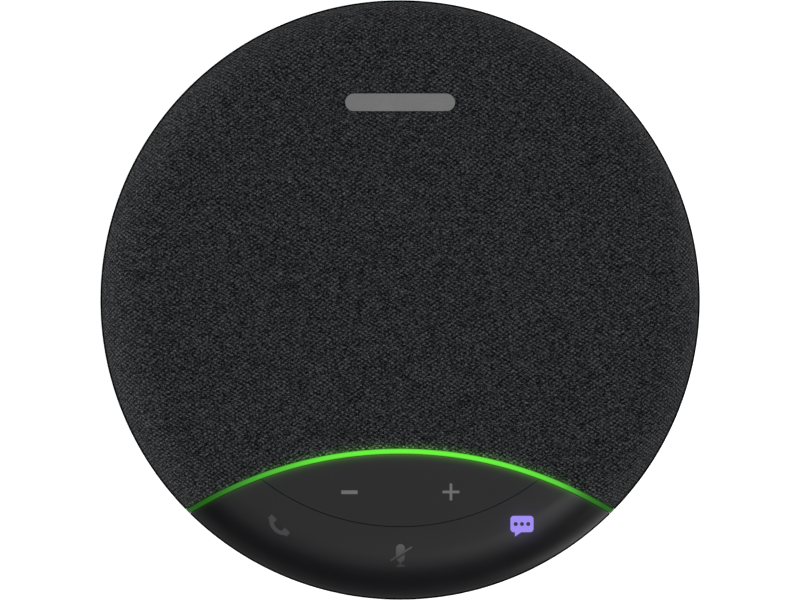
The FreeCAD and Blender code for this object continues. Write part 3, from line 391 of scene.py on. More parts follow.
# How much each layer of the weave lightens or darkens the cloth; relief is painted shade between
# the yarns and painted light on their backs
WEAVE = dict(relief=1.75, crossing=0.30, filament=2.7, fibre=3.4, cloud=0.12)


def cloth_material():
    mat = Material("acoustic_cloth")
    pos = mat.position()
    uv = mat.node("UVMap", uv_map="UVMap").outputs[0]  # millimetres along the cloth
    elsewhere = mat.vector_math("ADD", uv, (71.3, 15.9, 3.1))
    across = mat.xyz(uv)
    drift = mat.mul(mat.centred(mat.noise(uv, scale=0.07, detail=1.0)), 1.6)

    def yarn_count(pitch, seed):
        """Counts the yarns of a family, which wander a little."""
        wobble = mat.mul(mat.centred(mat.noise(seed, scale=0.8)), 0.42)
        straight = mat.mul(across[0], pitch[0]), mat.mul(across[1], pitch[1])
        return mat.add(*straight, mat.add(drift, wobble))

    def arch(count):
        """The round back of a yarn, 1 along its middle."""
        return mat.math("COSINE", mat.mul(mat.centred(mat.math("FRACT", count)), math.pi))

    def lift(lying, crossed):
        return mat.mul(mat.math("POWER", lying, 0.55), mat.math("POWER", crossed, 1.1))

    def floor(value):
        return mat.math("FLOOR", value)

    count_p, count_q = yarn_count(YARN_P, uv), yarn_count(YARN_Q, elsewhere)
    arch_p, arch_q = arch(count_p), arch(count_q)
    cell = mat.join(floor(count_p), floor(count_q), 0.0)
    # One family lies on top where the sum of the counts is odd, the other where it is even.
    over = mat.math("FLOORED_MODULO", mat.add(floor(count_p), floor(count_q)), 2.0)
    height = mat.select(over, lift(arch_p, arch_q), lift(arch_q, arch_p))

    # Each crossing has its own shade, and so has each bundle of filaments within it.
    bundle = mat.join(floor(mat.mul(count_p, 3.3)), floor(mat.mul(count_q, 3.3)), 5.0)
    fibre = mat.centred(mat.noise(uv, scale=6.6, detail=1.0))
    tone = mat.add(
        # Painted shade and light: the cloth is darker where the weave's relief is low and lighter
        # where it is high.
        mat.mul(mat.sub(height, 0.52), WEAVE["relief"]),
        mat.mul(mat.centred(mat.white(cell)), WEAVE["crossing"]),
        mat.mul(mat.centred(mat.white(bundle)), WEAVE["filament"]),
        mat.mul(fibre, WEAVE["fibre"]),
        mat.mul(mat.centred(mat.noise(uv, scale=0.16, detail=3.0, rough=0.6)), WEAVE["cloud"]),
    )
    # Contrast of the tones, held above a floor of 0.14
    tone = mat.math("MAXIMUM", mat.math("MULTIPLY_ADD", tone, 0.52, 1.0), 0.14)
    tone = mat.math("POWER", tone, 2.2)
    cool, warm = (0.992, 0.998, 1.012), (1.005, 1.0, 0.998)
    tint = mat.mix(mat.white(mat.vector_math("ADD", cell, (3.0, 9.0, 2.0))), cool, warm)
    grey = (CLOTH_GREY * 0.955, CLOTH_GREY, CLOTH_GREY * 1.085)
    colour = mat.shaded(mat.mix(1.0, grey, tint, "MULTIPLY"), tone)

    # Painted sheen: colour is added where the cloth turns away, as if standing fibres caught
    # light; painted shade darkens the last sliver.
    facing = mat.facing()
    edge = mat.add(mat.mul(mat.math("POWER", facing, 2.0), -0.006), mat.mul(facing, 0.038))
    edge = mat.mul(edge, mat.add(mat.mul(tone, 0.6), 0.4))
    colour = mat.vector_math("ADD", colour, mat.scale(mat.join(1.0, 1.0, 1.04), edge))
    shade = mat.rim_shade(low=0.67, high=0.72)
    # Painted shade: the turned edge beside the bar is darkened, both in colour and in the painted
    # spill.
    painted_gap_shade = mat.remap(bar_distance(mat, pos), (0.03, 0.30), (0.22, 1.0))
    glow = mat.mul(
        bar_glow(mat, pos, strength=0.13, reach=0.50),
        mat.add(mat.mul(tone, 0.75), 0.25),
        mat.remap(bar_distance(mat, pos), (0.03, 0.32), (0.42, 1.0)),
    )
    relief = mat.add(height, mat.mul(fibre, 0.5))
    mat.feed({
        "Base Color": mat.scale(colour, mat.mul(shade, painted_gap_shade)),
        "Roughness": 0.92,
        "Specular IOR Level": mat.mul(shade, 0.10),
        "Normal": mat.bump(relief, strength=0.6, distance=0.00010),
        "Emission Color": mat.join(mat.mul(glow, 0.26), glow, mat.mul(glow, 0.10)),
        "Emission Strength": 1.0,
    })
    return mat.data


HALO_X, HALO_Y = 25.4, -46.9  # middle of the painted violet halo on the function key


def panel_glow(mat, pos, halo):
    """Painted light: green spill of the bar and, if asked for, a violet halo about one sign."""
    glow = bar_glow(mat, pos, strength=0.17, reach=0.46)
    red, green, blue = mat.mul(glow, 0.27), glow, mat.mul(glow, 0.06)
    if halo:
        point = mat.xyz(pos)
        distance = mat.hypot(mat.sub(point[0], HALO_X), mat.add(point[1], -HALO_Y))
        # Bell-shaped fall (-0.105 per square millimetre) from a peak of 0.030
        ring = mat.mul(mat.exp(mat.mul(distance, distance, -0.105)), 0.030)
        red = mat.add(red, mat.mul(ring, 0.42))
        green = mat.add(green, mat.mul(ring, 0.30))
        blue = mat.add(blue, ring)
    return mat.join(red, green, blue)


def panel_material(name, spill=True, halo=False):
    """Fine matt plastic with faint haze and swipe marks in its gloss."""
    mat = Material(name)
    pos = mat.position()
    grain = mat.noise(pos, scale=9.0, detail=3.0, rough=0.6)
    cloud = mat.remap(mat.noise(pos, scale=0.12, detail=3.0), (0.35, 0.65))
    colour = mat.mix(cloud, (0.0062, 0.0062, 0.0074), (0.0068, 0.0068, 0.0080))
    speck = mat.remap(grain, (0.35, 0.65), (0.94, 1.06))
    shade = mat.rim_shade(low=0.70, high=0.75)
    haze = mat.remap(mat.noise(pos, scale=0.13, detail=4.0, rough=0.65), (0.42, 0.68))
    swipe = mat.noise(pos, scale=0.55, detail=3.0, rough=0.6, stretch=(0.35, 1.4, 1.0))
    rough = mat.add(
        mat.vary(mat.noise(pos, scale=2.6), 0.335, 0.375),
        mat.mul(haze, 0.035),
        mat.mul(mat.remap(swipe, (0.5, 0.72)), 0.03),
    )
    pebble = mat.add(grain, mat.mul(mat.voronoi(pos, scale=7.0), 0.7))
    normal = mat.eased_roll(pos)
    mat.feed({
        "Base Color": mat.scale(mat.shaded(colour, speck), shade),
        "Roughness": rough,
        "Specular IOR Level": mat.mul(shade, 0.180),
        "Normal": mat.bump(pebble, strength=0.10, distance=0.00003, normal=normal),
    })
    if spill:
        mat.feed({"Emission Color": panel_glow(mat, pos, halo), "Emission Strength": 1.0})
    return mat.data


def light_material():
    """The lit bar, brightest along its middle and dimmer at its edges and down the side."""
    mat = Material("light_bar_lit")
    pos = mat.position()
    level = bar_level(mat, pos)
    frost = mat.vary(mat.noise(pos, scale=6.0, detail=3.0, rough=0.6), 0.97, 1.03)
    depth = mat.mul(bar_distance(mat, pos), -1.0)
    rim = mat.ramp(mat.math("DIVIDE", depth, BAR_RIM), BAR_RIM_LEVELS)
    lower = mat.remap(mat.xyz(pos)[2], (15.0, 30.0), (0.35, 1.0))
    mat.feed({
        "Base Color": (0.004, 0.02, 0.003, 1),
        "Specular IOR Level": 0.08,
        "Roughness": mat.vary(mat.noise(pos, scale=2.0), 0.28, 0.36),
        "Emission Color": mat.mix(level, (0.135, 0.92, 0.075), (0.142, 0.915, 0.043)),
        "Emission Strength": mat.mul(mat.mul(level, frost), mat.mul(rim, lower)),
        "Normal": mat.bump(frost, strength=0.08, distance=0.00002),
    })
    return mat.data


def icon_material(name, level=None, fade=None, emission=0.6, colour=(1, 1, 1)):
    """A translucent inlay of one level, or one that fades over y: (y span, levels)."""
    mat = Material(name)
    pos = mat.position()
    grain = mat.vary(mat.noise(pos, scale=8.0), 0.95, 1.05)
    level = mat.mul(grain, mat.remap(mat.xyz(pos)[1], *fade) if fade else level)
    lit_rgb = [mat.mul(level, channel) for channel in colour]
    base_rgb = [mat.mul(channel, 1.0 - emission) for channel in lit_rgb]
    mat.feed({
        "Base Color": mat.join(*base_rgb),
        "Emission Color": mat.join(*lit_rgb),
        "Emission Strength": emission,
        "Roughness": 0.45,
        "Specular IOR Level": 0.12,
        "Normal": mat.bump(grain, strength=0.05, distance=0.00002),
    })
    return mat.data


def plain_material(name, colour, rough, metal=0.0, grain=6.0, spread=0.12, bump=0.15,
                   depth=0.00003, spec=0.5, second=None, brushed=None):
    """Moulded, cast, brushed or sintered stuff: grain in colour, roughness and surface.

    grain is its scale, spread its contrast, brushed its stretch per axis; bump and depth
    (metres) set the relief, and second is a colour that clouds into the first.
    """
    mat = Material(name)
    pos = mat.position()
    fine = mat.noise(pos, scale=grain, detail=3.0, rough=0.6, stretch=brushed)
    cloud = mat.noise(pos, scale=0.15)
    tone = mat.mul(
        mat.vary(fine, 1 - spread, 1 + spread),
        mat.vary(cloud, 1 - spread / 2, 1 + spread / 2),
    )
    if second:
        base = mat.mix(mat.remap(cloud, (0.35, 0.65)), colour, second)
    else:
        base = mat.mix(0.0, colour, colour)
    mat.feed({
        "Base Color": mat.shaded(base, tone),
        "Roughness": mat.vary(fine, rough - 0.07, min(rough + 0.07, 1.0)),
        "Metallic": metal,
        "Specular IOR Level": spec,
        "Normal": mat.bump(fine, strength=bump, distance=depth),
    })
    return mat.data


def spark_plastic(name, colour, rough, grain, depth, wear):
    """Spark-eroded moulding: pitted grain, duller recesses, polished rubs and fine scuffs."""
    mat = Material(name)
    pos = mat.position()
    cells = mat.voronoi(pos, scale=grain)
    fine = mat.noise(pos, scale=grain * 2.2, detail=3.0, rough=0.6)
    pits = mat.add(mat.mul(cells, 0.9), mat.mul(fine, 0.6))
    pit_span = (0.3, 1.1)
    cloud = mat.noise(pos, scale=0.11, detail=3.0, rough=0.6)
    rub = mat.noise(pos, scale=0.35, detail=4.0, rough=0.7, stretch=(0.5, 0.5, 1.6))
    scuff = mat.noise(pos, scale=2.4, stretch=(0.25, 0.25, 5.0))
    mark = mat.mul(mat.remap(scuff, (0.68, 0.78)), mat.remap(cloud, (0.45, 0.65)))
    tone = mat.mul(mat.remap(pits, pit_span, (0.86, 1.14)), mat.vary(cloud, 0.93, 1.07))
    tone = mat.add(tone, mat.mul(mark, 0.30))
    dull = mat.remap(pits, pit_span, (rough + 0.06, rough - 0.05))
    mat.feed({
        "Base Color": mat.shaded(mat.mix(0.0, colour, colour), tone),
        "Roughness": mat.sub(dull, mat.mul(mat.remap(rub, (0.56, 0.74)), wear * 0.3)),
        "Normal": mat.bump(pits, strength=0.5, distance=depth),
    })
    return mat.data


def ribbed_rubber(name, colour, rib_pitch):
    """Soft foot with concentric ribs underneath, painted shade in the grooves, and dust."""
    mat = Material(name)
    pos = mat.position()
    point = mat.xyz(pos)
    radius = mat.hypot(point[0], point[1])
    wave = mat.math("SINE", mat.mul(radius, 2 * math.pi / rib_pitch))
    low = mat.remap(point[2], (0.05, 0.4), (1.0, 0.0))
    rib = mat.mul(mat.remap(wave, (-0.6, 0.6)), low)
    grain = mat.noise(pos, scale=5.0, detail=3.0, rough=0.6)
    dust = mat.remap(mat.noise(pos, scale=0.5, detail=4.0, rough=0.7), (0.48, 0.75))
    tone = mat.add(mat.vary(grain, 0.88, 1.12), mat.mul(dust, 0.35))
    # Painted shade: the grooves between the ribs are darkened.
    groove = mat.mul(mat.sub(1.0, rib), low)
    tone = mat.mul(tone, mat.remap(groove, (0.0, 1.0), (1.0, 0.6)))
    relief = mat.add(mat.mul(rib, 1.0), mat.mul(grain, 0.15))
    mat.feed({
        "Base Color": mat.shaded(mat.mix(0.0, colour, colour), tone),
        "Roughness": mat.vary(grain, 0.68, 0.84),
        "Specular IOR Level": 0.3,
        "Normal": mat.bump(relief, strength=0.8, distance=0.00012),
    })
    return mat.data


def board_material(name, mask, track, plating):
    """Solder mask with tracks and plated holes showing through."""
    mat = Material(name)
    point = mat.xyz(mat.position())
    flat = mat.join(point[0], point[1], 0.0)
    wobble = mat.noise(flat, scale=0.25)
    # Lanes run along y in some regions and along x in the others.
    lane_x, lane_y = [
        mat.math("FRACT", mat.add(mat.mul(point[axis], 0.9), mat.mul(wobble, 5.0)))
        for axis in (0, 1)
    ]
    region = mat.math("GREATER_THAN", mat.noise(flat, scale=0.09, detail=0.0), 0.5)
    lanes = mat.select(region, lane_x, lane_y)
    patches = mat.math("GREATER_THAN", mat.noise(flat, scale=0.3, detail=1.0), 0.45)
    tracks = mat.mul(mat.math("LESS_THAN", lanes, 0.28), patches)
    holes = mat.math("LESS_THAN", mat.voronoi(flat, scale=0.28), 0.10)
    mat.feed({
        "Base Color": mat.mix(holes, mat.mix(tracks, mask, track), plating),
        "Roughness": 0.32,
        "Normal": mat.bump(mat.add(tracks, holes), strength=0.3, distance=0.00003),
    })
    return mat.data


# Settings of plain_material, by material name
PLAIN = {
    "switch_plastic": dict(colour=(0.018, 0.018, 0.018), rough=0.45, grain=5.0),
    "plated_steel": dict(colour=(0.62, 0.61, 0.58), rough=0.30, metal=1.0, grain=3.0,
                         brushed=(0.3, 4.0, 4.0), bump=0.2),
    "chip_black": dict(colour=(0.016, 0.016, 0.017), rough=0.55, grain=7.0, bump=0.3),
    "screw_steel": dict(colour=(0.42, 0.42, 0.43), rough=0.28, metal=1.0, grain=4.0,
                        brushed=(1.0, 1.0, 5.0)),
    "battery_wrap": dict(colour=(0.50, 0.52, 0.55), second=(0.44, 0.46, 0.50), rough=0.38,
                         metal=0.85, grain=1.6, bump=0.5, depth=0.00012),
    "foam_black": dict(colour=(0.022, 0.022, 0.022), rough=0.95, grain=3.0, bump=0.9,
                       depth=0.0002, spec=0.1),
    "inner_plastic": dict(colour=(0.030, 0.030, 0.033), rough=0.52, grain=4.0, bump=0.25),
    "led_white": dict(colour=(0.82, 0.78, 0.50), rough=0.25, grain=5.0, spread=0.05),
    "mat_rubber": dict(colour=(0.10, 0.10, 0.108), rough=0.65, grain=3.0, spec=0.3),
    "flex_amber": dict(colour=(0.45, 0.20, 0.035), second=(0.36, 0.15, 0.03), rough=0.33,
                       grain=1.2, brushed=(4.0, 0.5, 0.5)),
    "basket_black": dict(colour=(0.022, 0.022, 0.023), rough=0.40, metal=0.2, grain=5.0,
                         bump=0.3),
    "motor_steel": dict(colour=(0.55, 0.55, 0.53), rough=0.33, metal=1.0, grain=3.0,
                        brushed=(1.0, 1.0, 6.0)),
    "magnet_ferrite": dict(colour=(0.045, 0.045, 0.050), rough=0.60, metal=0.1, grain=4.0,
                           bump=0.5, depth=0.0001),
    "coil_copper": dict(colour=(0.62, 0.24, 0.10), rough=0.30, metal=0.9, grain=2.0,
                        brushed=(0.2, 0.2, 14.0), bump=0.5),
    "cone_paper": dict(colour=(0.040, 0.038, 0.036), rough=0.85, grain=3.0, bump=0.8,
                       depth=0.0002, spec=0.15),
    "surround_rubber": dict(colour=(0.018, 0.018, 0.018), rough=0.45, grain=3.0),
    "spider_cloth": dict(colour=(0.50, 0.30, 0.085), rough=0.80, grain=5.0, bump=0.9,
                         depth=0.0002, spec=0.2),
    "lead_jacket": dict(colour=(0.30, 0.015, 0.012), rough=0.45, grain=3.0),
    "badge_metal": dict(colour=(0.165, 0.165, 0.168), rough=0.42, metal=0.15, spec=0.2,
                        grain=2.5, spread=0.10, bump=0.25, brushed=(0.25, 6.0, 6.0)),
}

cloth = cloth_material()
panel = panel_material("panel_plastic")
panel_halo = panel_material("panel_plastic_halo", halo=True)
bezel_plastic = panel_material("bezel_plastic", spill=False)
bar_lit = light_material()
MATERIALS = {
    "foot_rubber": ribbed_rubber("foot_rubber", colour=(0.034, 0.034, 0.035), rib_pitch=0.9),
    "base_plastic": spark_plastic("base_plastic", colour=(0.0235, 0.0235, 0.025), rough=0.46,
                                  grain=4.2, depth=0.00005, wear=0.35),
    "button_plastic": spark_plastic("button_plastic", colour=(0.050, 0.050, 0.053), rough=0.38,
                                    grain=6.5, depth=0.00002, wear=0.6),
    "board_laminate": board_material("board_laminate", mask=(0.012, 0.075, 0.030),
                                     track=(0.022, 0.120, 0.050), plating=(0.55, 0.42, 0.20)),
    **{name: plain_material(name, **settings) for name, settings in PLAIN.items()},
    "cloth": cloth,
    "light_guide_green": bar_lit,
    "panel_plastic": panel,
    "icon_grey": icon_material("icon_grey", level=0.152),
    "icon_violet": icon_material("icon_violet", level=1.0, emission=0.92,
                                 colour=(0.352, 0.262, 0.90)),
}
# Nodes whose signs have their own brightness instead of their slot's material
SIGN_MATERIALS = {
    "volume_icons": icon_material("icon_volume", level=0.152),
    "call_icon": icon_material("icon_call", level=0.054, colour=(1, 1, 1.06)),
    "mute_icon": icon_material("icon_mute", fade=((-55.7, -51.0), (0.033, 0.097))),
}
for name, node in NODES.items():
    node.data.materials.clear()
    node.data.materials.append(SIGN_MATERIALS.get(name) or MATERIALS[SLOT[name]])


# ---------------------------------------------------------------- cloth and light bar
BAR_JOIN_R = 40.0             # radius inside which the bar's path is stepped by its own angle


def bar_path(radii, end, top_steps):
    """Points and normals of sections across the bar's arc, at radii about its centre.

    They run up the +x side from a distance along the form, over the top and down the -x side.
    """
    steps = np.concatenate([
        np.linspace(end, ROLL_END, 21, endpoint=False),
        np.linspace(ROLL_END, FLAT_R, 35, endpoint=False),
        np.linspace(FLAT_R, BAR_JOIN_R, 14),
    ])
    right = [surface(along, theta_at(radii, profile(along)[0])) for along in steps]
    join_x = right[-1][0][:, 0].mean()
    # Stepping starts just inside the last section of the side.
    join_angle = math.asin(join_x / np.mean(radii)) * 0.985
    count = len(radii)
    top = []
    for angle in np.linspace(join_angle, -join_angle, top_steps):
        x, y = radii * math.sin(angle), radii * math.cos(angle) - BAR_CENTRE
        points = np.column_stack([x, y, np.full(count, TOP_Z)])
        top.append((points, np.tile([0.0, 0.0, 1.0], (count, 1))))
    mirror = np.array([-1.0, 1.0, 1.0])
    left = [(points * mirror, normals * mirror) for points, normals in reversed(right)]
    points, normals = zip(*(right + top + left))
    return np.array(points), np.array(normals)


CLOTH_EDGE = 0.20             # radius of the cloth's edge beside the bar
CLOTH_R = BAR_OUT_R + 0.04    # cloth's edge, about the bar's centre
CLOTH_COLS = 300
CLOTH_FLAT_ROWS = 46


def cloth_cover():
    share = np.linspace(0, 1, CLOTH_COLS)
    inner_r = CLOTH_R + CLOTH_EDGE          # where the main sheet meets the rounded edge
    hem = along_at(SPLIT_Z + 0.15)

    def sweep(radius):
        """Angles about the axis from the bar on +x, round +y, to the bar on -x."""
        start = theta_at(inner_r, radius)
        return start + share * (math.pi - 2 * start)

    # Flat top, blended from the bar's arc to the rim of the top
    theta = sweep(FLAT_R)
    rim = np.stack([FLAT_R * np.cos(theta), FLAT_R * np.sin(theta)], -1)
    first = math.asin(rim[0, 0] / inner_r)
    angle = first - share * 2 * first
    near = np.stack([inner_r * np.sin(angle), inner_r * np.cos(angle) - BAR_CENTRE], -1)
    verts, uvs = [], []
    for blend in np.linspace(0, 1, CLOTH_FLAT_ROWS):
        flat = near * (1 - blend) + rim * blend
        verts.append(np.column_stack([flat, np.full(CLOTH_COLS, TOP_Z)]))
        uvs.append(flat)
    faces = grid_faces(CLOTH_FLAT_ROWS, CLOTH_COLS)
    base = CLOTH_FLAT_ROWS * CLOTH_COLS

    # Roll and side down to a rounded hem; the last row is the hem turned in underneath.
    side = np.concatenate([
        np.linspace(FLAT_R, ROLL_END, 34),
        np.linspace(ROLL_END, hem - 0.5, 14)[1:],
        hem - np.array([0.35, 0.22, 0.12, 0.05, 0.0]),
    ])
    drops = np.append(round_edge(0.4, hem - side), 0.78)
    uv_along = np.append(side, hem + 0.6)
    for along, drop, uv_reach in zip(np.append(side, hem), drops, uv_along):
        theta = sweep(profile(along)[0])
        points, normals = surface(along, theta)
        verts.append(points - normals * drop)
        uvs.append(np.stack([uv_reach * np.cos(theta), uv_reach * np.sin(theta)], -1))
    faces += grid_faces(len(drops), CLOTH_COLS, base)
    base += len(drops) * CLOTH_COLS

    # Rounded edge beside the bar, ending in a wall
    cuts = np.array([CLOTH_EDGE, 0.17, 0.14, 0.105, 0.07, 0.04, 0.015, 0.0, 0.0])
    depths = round_edge(CLOTH_EDGE, cuts)
    depths[-1] = 1.6
    points, normals = bar_path(CLOTH_R + cuts, hem, top_steps=150)
    verts.append((points - normals * depths[:, None]).reshape(-1, 3))
    faces += grid_faces(*points.shape[:2], base, flip=True)
    flat = points.reshape(-1, 3)
    stretch = along_of(flat) / np.hypot(flat[:, 0], flat[:, 1])
    uvs.append(flat[:, :2] * stretch[:, None])
    return piece("cloth_cover", np.concatenate(verts), faces, cloth, "chassis",
                 "fabric_cover", np.concatenate(uvs))


def light_guide():
    """The bar: a rounded face 0.02 below the outer form, with a wall down each edge."""
    insets = np.array([0, 0, 0.012, 0.03, 0.055, 0.08, 0.2, 0.45])
    radii = np.concatenate([BAR_IN_R + insets, (BAR_OUT_R - insets)[::-1]])
    radii[0] += 0.14                        # the wall beside the keys leans away from them
    depths = round_edge(0.08, np.concatenate([insets, insets[::-1]])) + 0.02
    depths[[0, -1]] = 2.2
    points, normals = bar_path(radii, along_at(SPLIT_Z + 0.2), top_steps=220)
    verts = (points - normals * depths[:, None]).reshape(-1, 3)
    piece("light_guide", verts, grid_faces(*points.shape[:2]), bar_lit, "chassis",
          "light_bar")


cloth_obj = cloth_cover()
light_guide()

# ---------------------------------------------------------------- key caps
KEY_SINK = 0.03               # the caps lie this far under the signs' faces, so those show
KEY_EDGE = 0.09               # radius of the caps' edges
KEY_WALL = 1.7                # depth of their walls
KEY_GAP = 0.025               # half of the gap at the seam
KEY_ARC_R = BAR_IN_R - 0.068  # the caps' edge beside the bar, about the bar's centre
KEY_DRAFT = 0.14              # lean of the function key's wall beside the bar
# Distances from an edge at which points are set
EDGE_STEPS = np.array([0.0, 0.005, 0.015, 0.03, 0.05, 0.07, 0.09, 0.13])


def function_cap():
    """The key outside the seam, which rolls over the rim and down the -y side."""
    start, end = SEAM_R + KEY_GAP, along_at(23.5)
    rows = np.concatenate([
        [start],
        start + EDGE_STEPS,
        np.linspace(start + 0.6, FLAT_R, 14),
        np.linspace(FLAT_R, ROLL_END, 48)[1:],
        np.linspace(ROLL_END, end - 0.6, 6)[1:],
        (end - EDGE_STEPS)[::-1],
        [end],
    ])
    share = np.linspace(0, 1, 150)[1:-1]
    verts = []
    for k, along in enumerate(rows):
        radius = profile(along)[0]
        # Angles from the +x edge round -y to the -x edge
        right = theta_at(KEY_ARC_R - EDGE_STEPS, radius)
        wall = theta_at(KEY_ARC_R - KEY_DRAFT, radius)
        middle = right[-1] + share * (-math.pi - 2 * right[-1])
        left = (-math.pi - right)[::-1]
        theta = np.concatenate([[wall], right, middle, left, [-math.pi - wall]])
        points, normals = surface(along, theta)
        to_bar = KEY_ARC_R - np.hypot(points[:, 0], points[:, 1] + BAR_CENTRE)
        drop = round_edge(KEY_EDGE, to_bar, along - start, end - along)
        drop[[0, -1]] = KEY_WALL
        if k in (0, len(rows) - 1):
            drop[:] = KEY_WALL
        # The sink fades out part of the way round the roll.
        sink = KEY_SINK * np.clip((FLAT_R + 7.0 - along) / 2.0, 0.0, 1.0)
        verts.append(points - normals * (drop + sink)[:, None])
    return piece("function_key_cap", np.concatenate(verts), grid_faces(len(rows), len(theta)),
                 panel_halo, "function_cap", "function_key")


def volume_cap():
    """The flat lens-shaped key between the bar's arc and the seam."""
    seam_r = SEAM_R - KEY_GAP
    tip_y = (KEY_ARC_R**2 - seam_r**2 - BAR_CENTRE**2) / (2 * BAR_CENTRE)
    tip_x = math.sqrt(seam_r**2 - tip_y**2)
    columns = np.sin(np.linspace(-1, 1, 161) * math.pi / 2) * (tip_x - 0.004)
    share = np.linspace(0, 1, 18)[1:-1]
    verts = []
    for x in columns:
        seam_y = -math.sqrt(seam_r**2 - x * x)
        arc_y = math.sqrt(KEY_ARC_R**2 - x * x) - BAR_CENTRE
        # The edge steps shrink toward the tips, where the key is narrow.
        narrow = (arc_y - seam_y) * 0.5 * (EDGE_STEPS / EDGE_STEPS[-1])
        steps = np.minimum(EDGE_STEPS * 1.05, narrow)
        low, high = seam_y + steps, arc_y - steps
        middle = low[-1] + share * (high[-1] - low[-1])
        y = np.concatenate([[low[0]], low, middle, high[::-1], [high[0]]])
        to_arc = KEY_ARC_R - np.hypot(x, y + BAR_CENTRE)
        drop = round_edge(KEY_EDGE, to_arc, seam_r - np.hypot(x, y))
        drop[[0, -1]] = KEY_WALL
        verts.append(np.column_stack([np.full(len(y), x), y, TOP_Z - KEY_SINK - drop]))
    faces = grid_faces(len(columns), len(y), flip=True)
    return piece("volume_key_cap", np.concatenate(verts), faces, panel, "volume_rocker",
                 "volume_key")


function_cap_obj = function_cap()
volume_cap_obj = volume_cap()

# ---------------------------------------------------------------- refined CAD parts
SHARP_ANGLE = math.radians(28.0)  # edges that turn more than this stay sharp


def refine(node, name, material=None, bevel=0.0, ride=True):
    """A copy of a CAD node with welded seams, smooth faces and, with a bevel, broken edges."""
    source = NODES[node]
    mesh = source.data.copy()
    mesh.name = name
    shape = bmesh.new()
    shape.from_mesh(mesh)
    weld = 2e-6                   # metres
    bmesh.ops.remove_doubles(shape, verts=shape.verts, dist=weld)
    bmesh.ops.dissolve_degenerate(shape, edges=shape.edges, dist=weld)
    if bevel:
        bmesh.ops.dissolve_limit(
            shape, angle_limit=math.radians(0.6), verts=shape.verts, edges=shape.edges
        )
    for face in shape.faces:
        face.smooth = True
    for edge in shape.edges:
        sharp = len(edge.link_faces) == 2 and edge.calc_face_angle(0.0) > SHARP_ANGLE
        edge.smooth = not sharp
    shape.to_mesh(mesh)
    shape.free()
    # Imported normals, where a node has them, would override the smoothing.
    if "custom_normal" in mesh.attributes:
        mesh.attributes.remove(mesh.attributes["custom_normal"])
    if material:
        mesh.materials[0] = material
    obj = add_object(name, mesh)
    if bevel:
        edges = obj.modifiers.new("edges", "BEVEL")
        edges.width = bevel * MM
        edges.segments = 3
        edges.limit_method = "ANGLE"
        edges.angle_limit = SHARP_ANGLE
        edges.use_clamp_overlap = True
        edges.harden_normals = False
    if ride:
        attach(obj, source["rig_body"])
    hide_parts(node)
    return obj


refine("bottom_casing", "base_shell")
refine("foot_ring", "foot_pad")
refine("front_bezel", "bezel_band", material=bezel_plastic)
refine("port_panel", "port_plate", bevel=0.12)
refine("power_button", "power_key_cap", bevel=0.15)
refine("pairing_button", "pairing_key_cap", bevel=0.15)
refine("usb_receptacle", "port_shell", bevel=0.05)
refine("usb_tongue", "port_tongue", bevel=0.06)
refine("badge", "blank_badge", bevel=0.14)


# ---------------------------------------------------------------- signs
def settle(sign, move):
    """Slides a sign along the keys; move takes and returns its x and y."""
    points = np.array([vertex.co for vertex in sign.data.vertices]) / MM
    old_x, old_y = points[:, 0], points[:, 1]
    x, y = move(old_x, old_y)
    points[:, 2] += height_at(x, y) - height_at(old_x, old_y)
    points[:, 0], points[:, 1] = x, y
    sign.data.vertices.foreach_set("co", (points * MM).astype(np.float32).ravel())
    sign.data.update()


def volume_move(x, y):
    """Shrinks the sign on the -x side about its middle, and shifts both."""
    left = x < 0
    mid_x = (x[left].min() + x[left].max()) / 2
    mid_y = (y[left].min() + y[left].max()) / 2
    moved_x = np.where(left, mid_x + (x - mid_x) * 0.965, x) - 0.03
    moved_y = np.where(left, mid_y + (y - mid_y) * 0.86 + 0.23, y + 0.24)
    return moved_x, moved_y


settle(refine("volume_icons", "volume_signs"), volume_move)
settle(refine("call_icon", "handset_sign"), lambda x, y: (x - 0.03, y + 0.125))
settle(refine("meeting_icon", "speech_sign"), lambda x, y: (x - 0.11, y + 0.12))


def half_plane(outline, point, normal):
    """The part of a convex outline on the side of a line its normal points to."""
    kept = []
    side = [(x - point[0]) * normal[0] + (y - point[1]) * normal[1] for x, y in outline]
    for k in range(len(outline)):
        after = (k + 1) % len(outline)
        here, there = outline[k], outline[after]
        if side[k] >= 0:
            kept.append(here)
        if (side[k] >= 0) != (side[after] >= 0):
            cut = side[k] / (side[k] - side[after])
            kept.append(tuple(h + cut * (t - h) for h, t in zip(here, there)))
    return kept


def stadium(start, end, half, steps):
    """Outline of a bar with round ends between two points, half as wide on each side."""
    heading = math.atan2(end[1] - start[1], end[0] - start[0])
    outline = []
    for (x, y), first in ((end, heading - math.pi / 2), (start, heading + math.pi / 2)):
        for k in range(steps + 1):
            angle = first + math.pi * k / steps
            outline.append((x + half * math.cos(angle), y + half * math.sin(angle)))
    return outline


INLAY_STEP = 0.12             # longest step along an inlay's outline
# Rings of an inlay: share of the outline's size, depth below the outer form
INLAY_RINGS = (
    (1.0, 0.45), (1.0, 0.006), (0.985, 0.0), (0.8, 0.0), (0.55, 0.0), (0.3, 0.0), (0.05, 0.0),
)


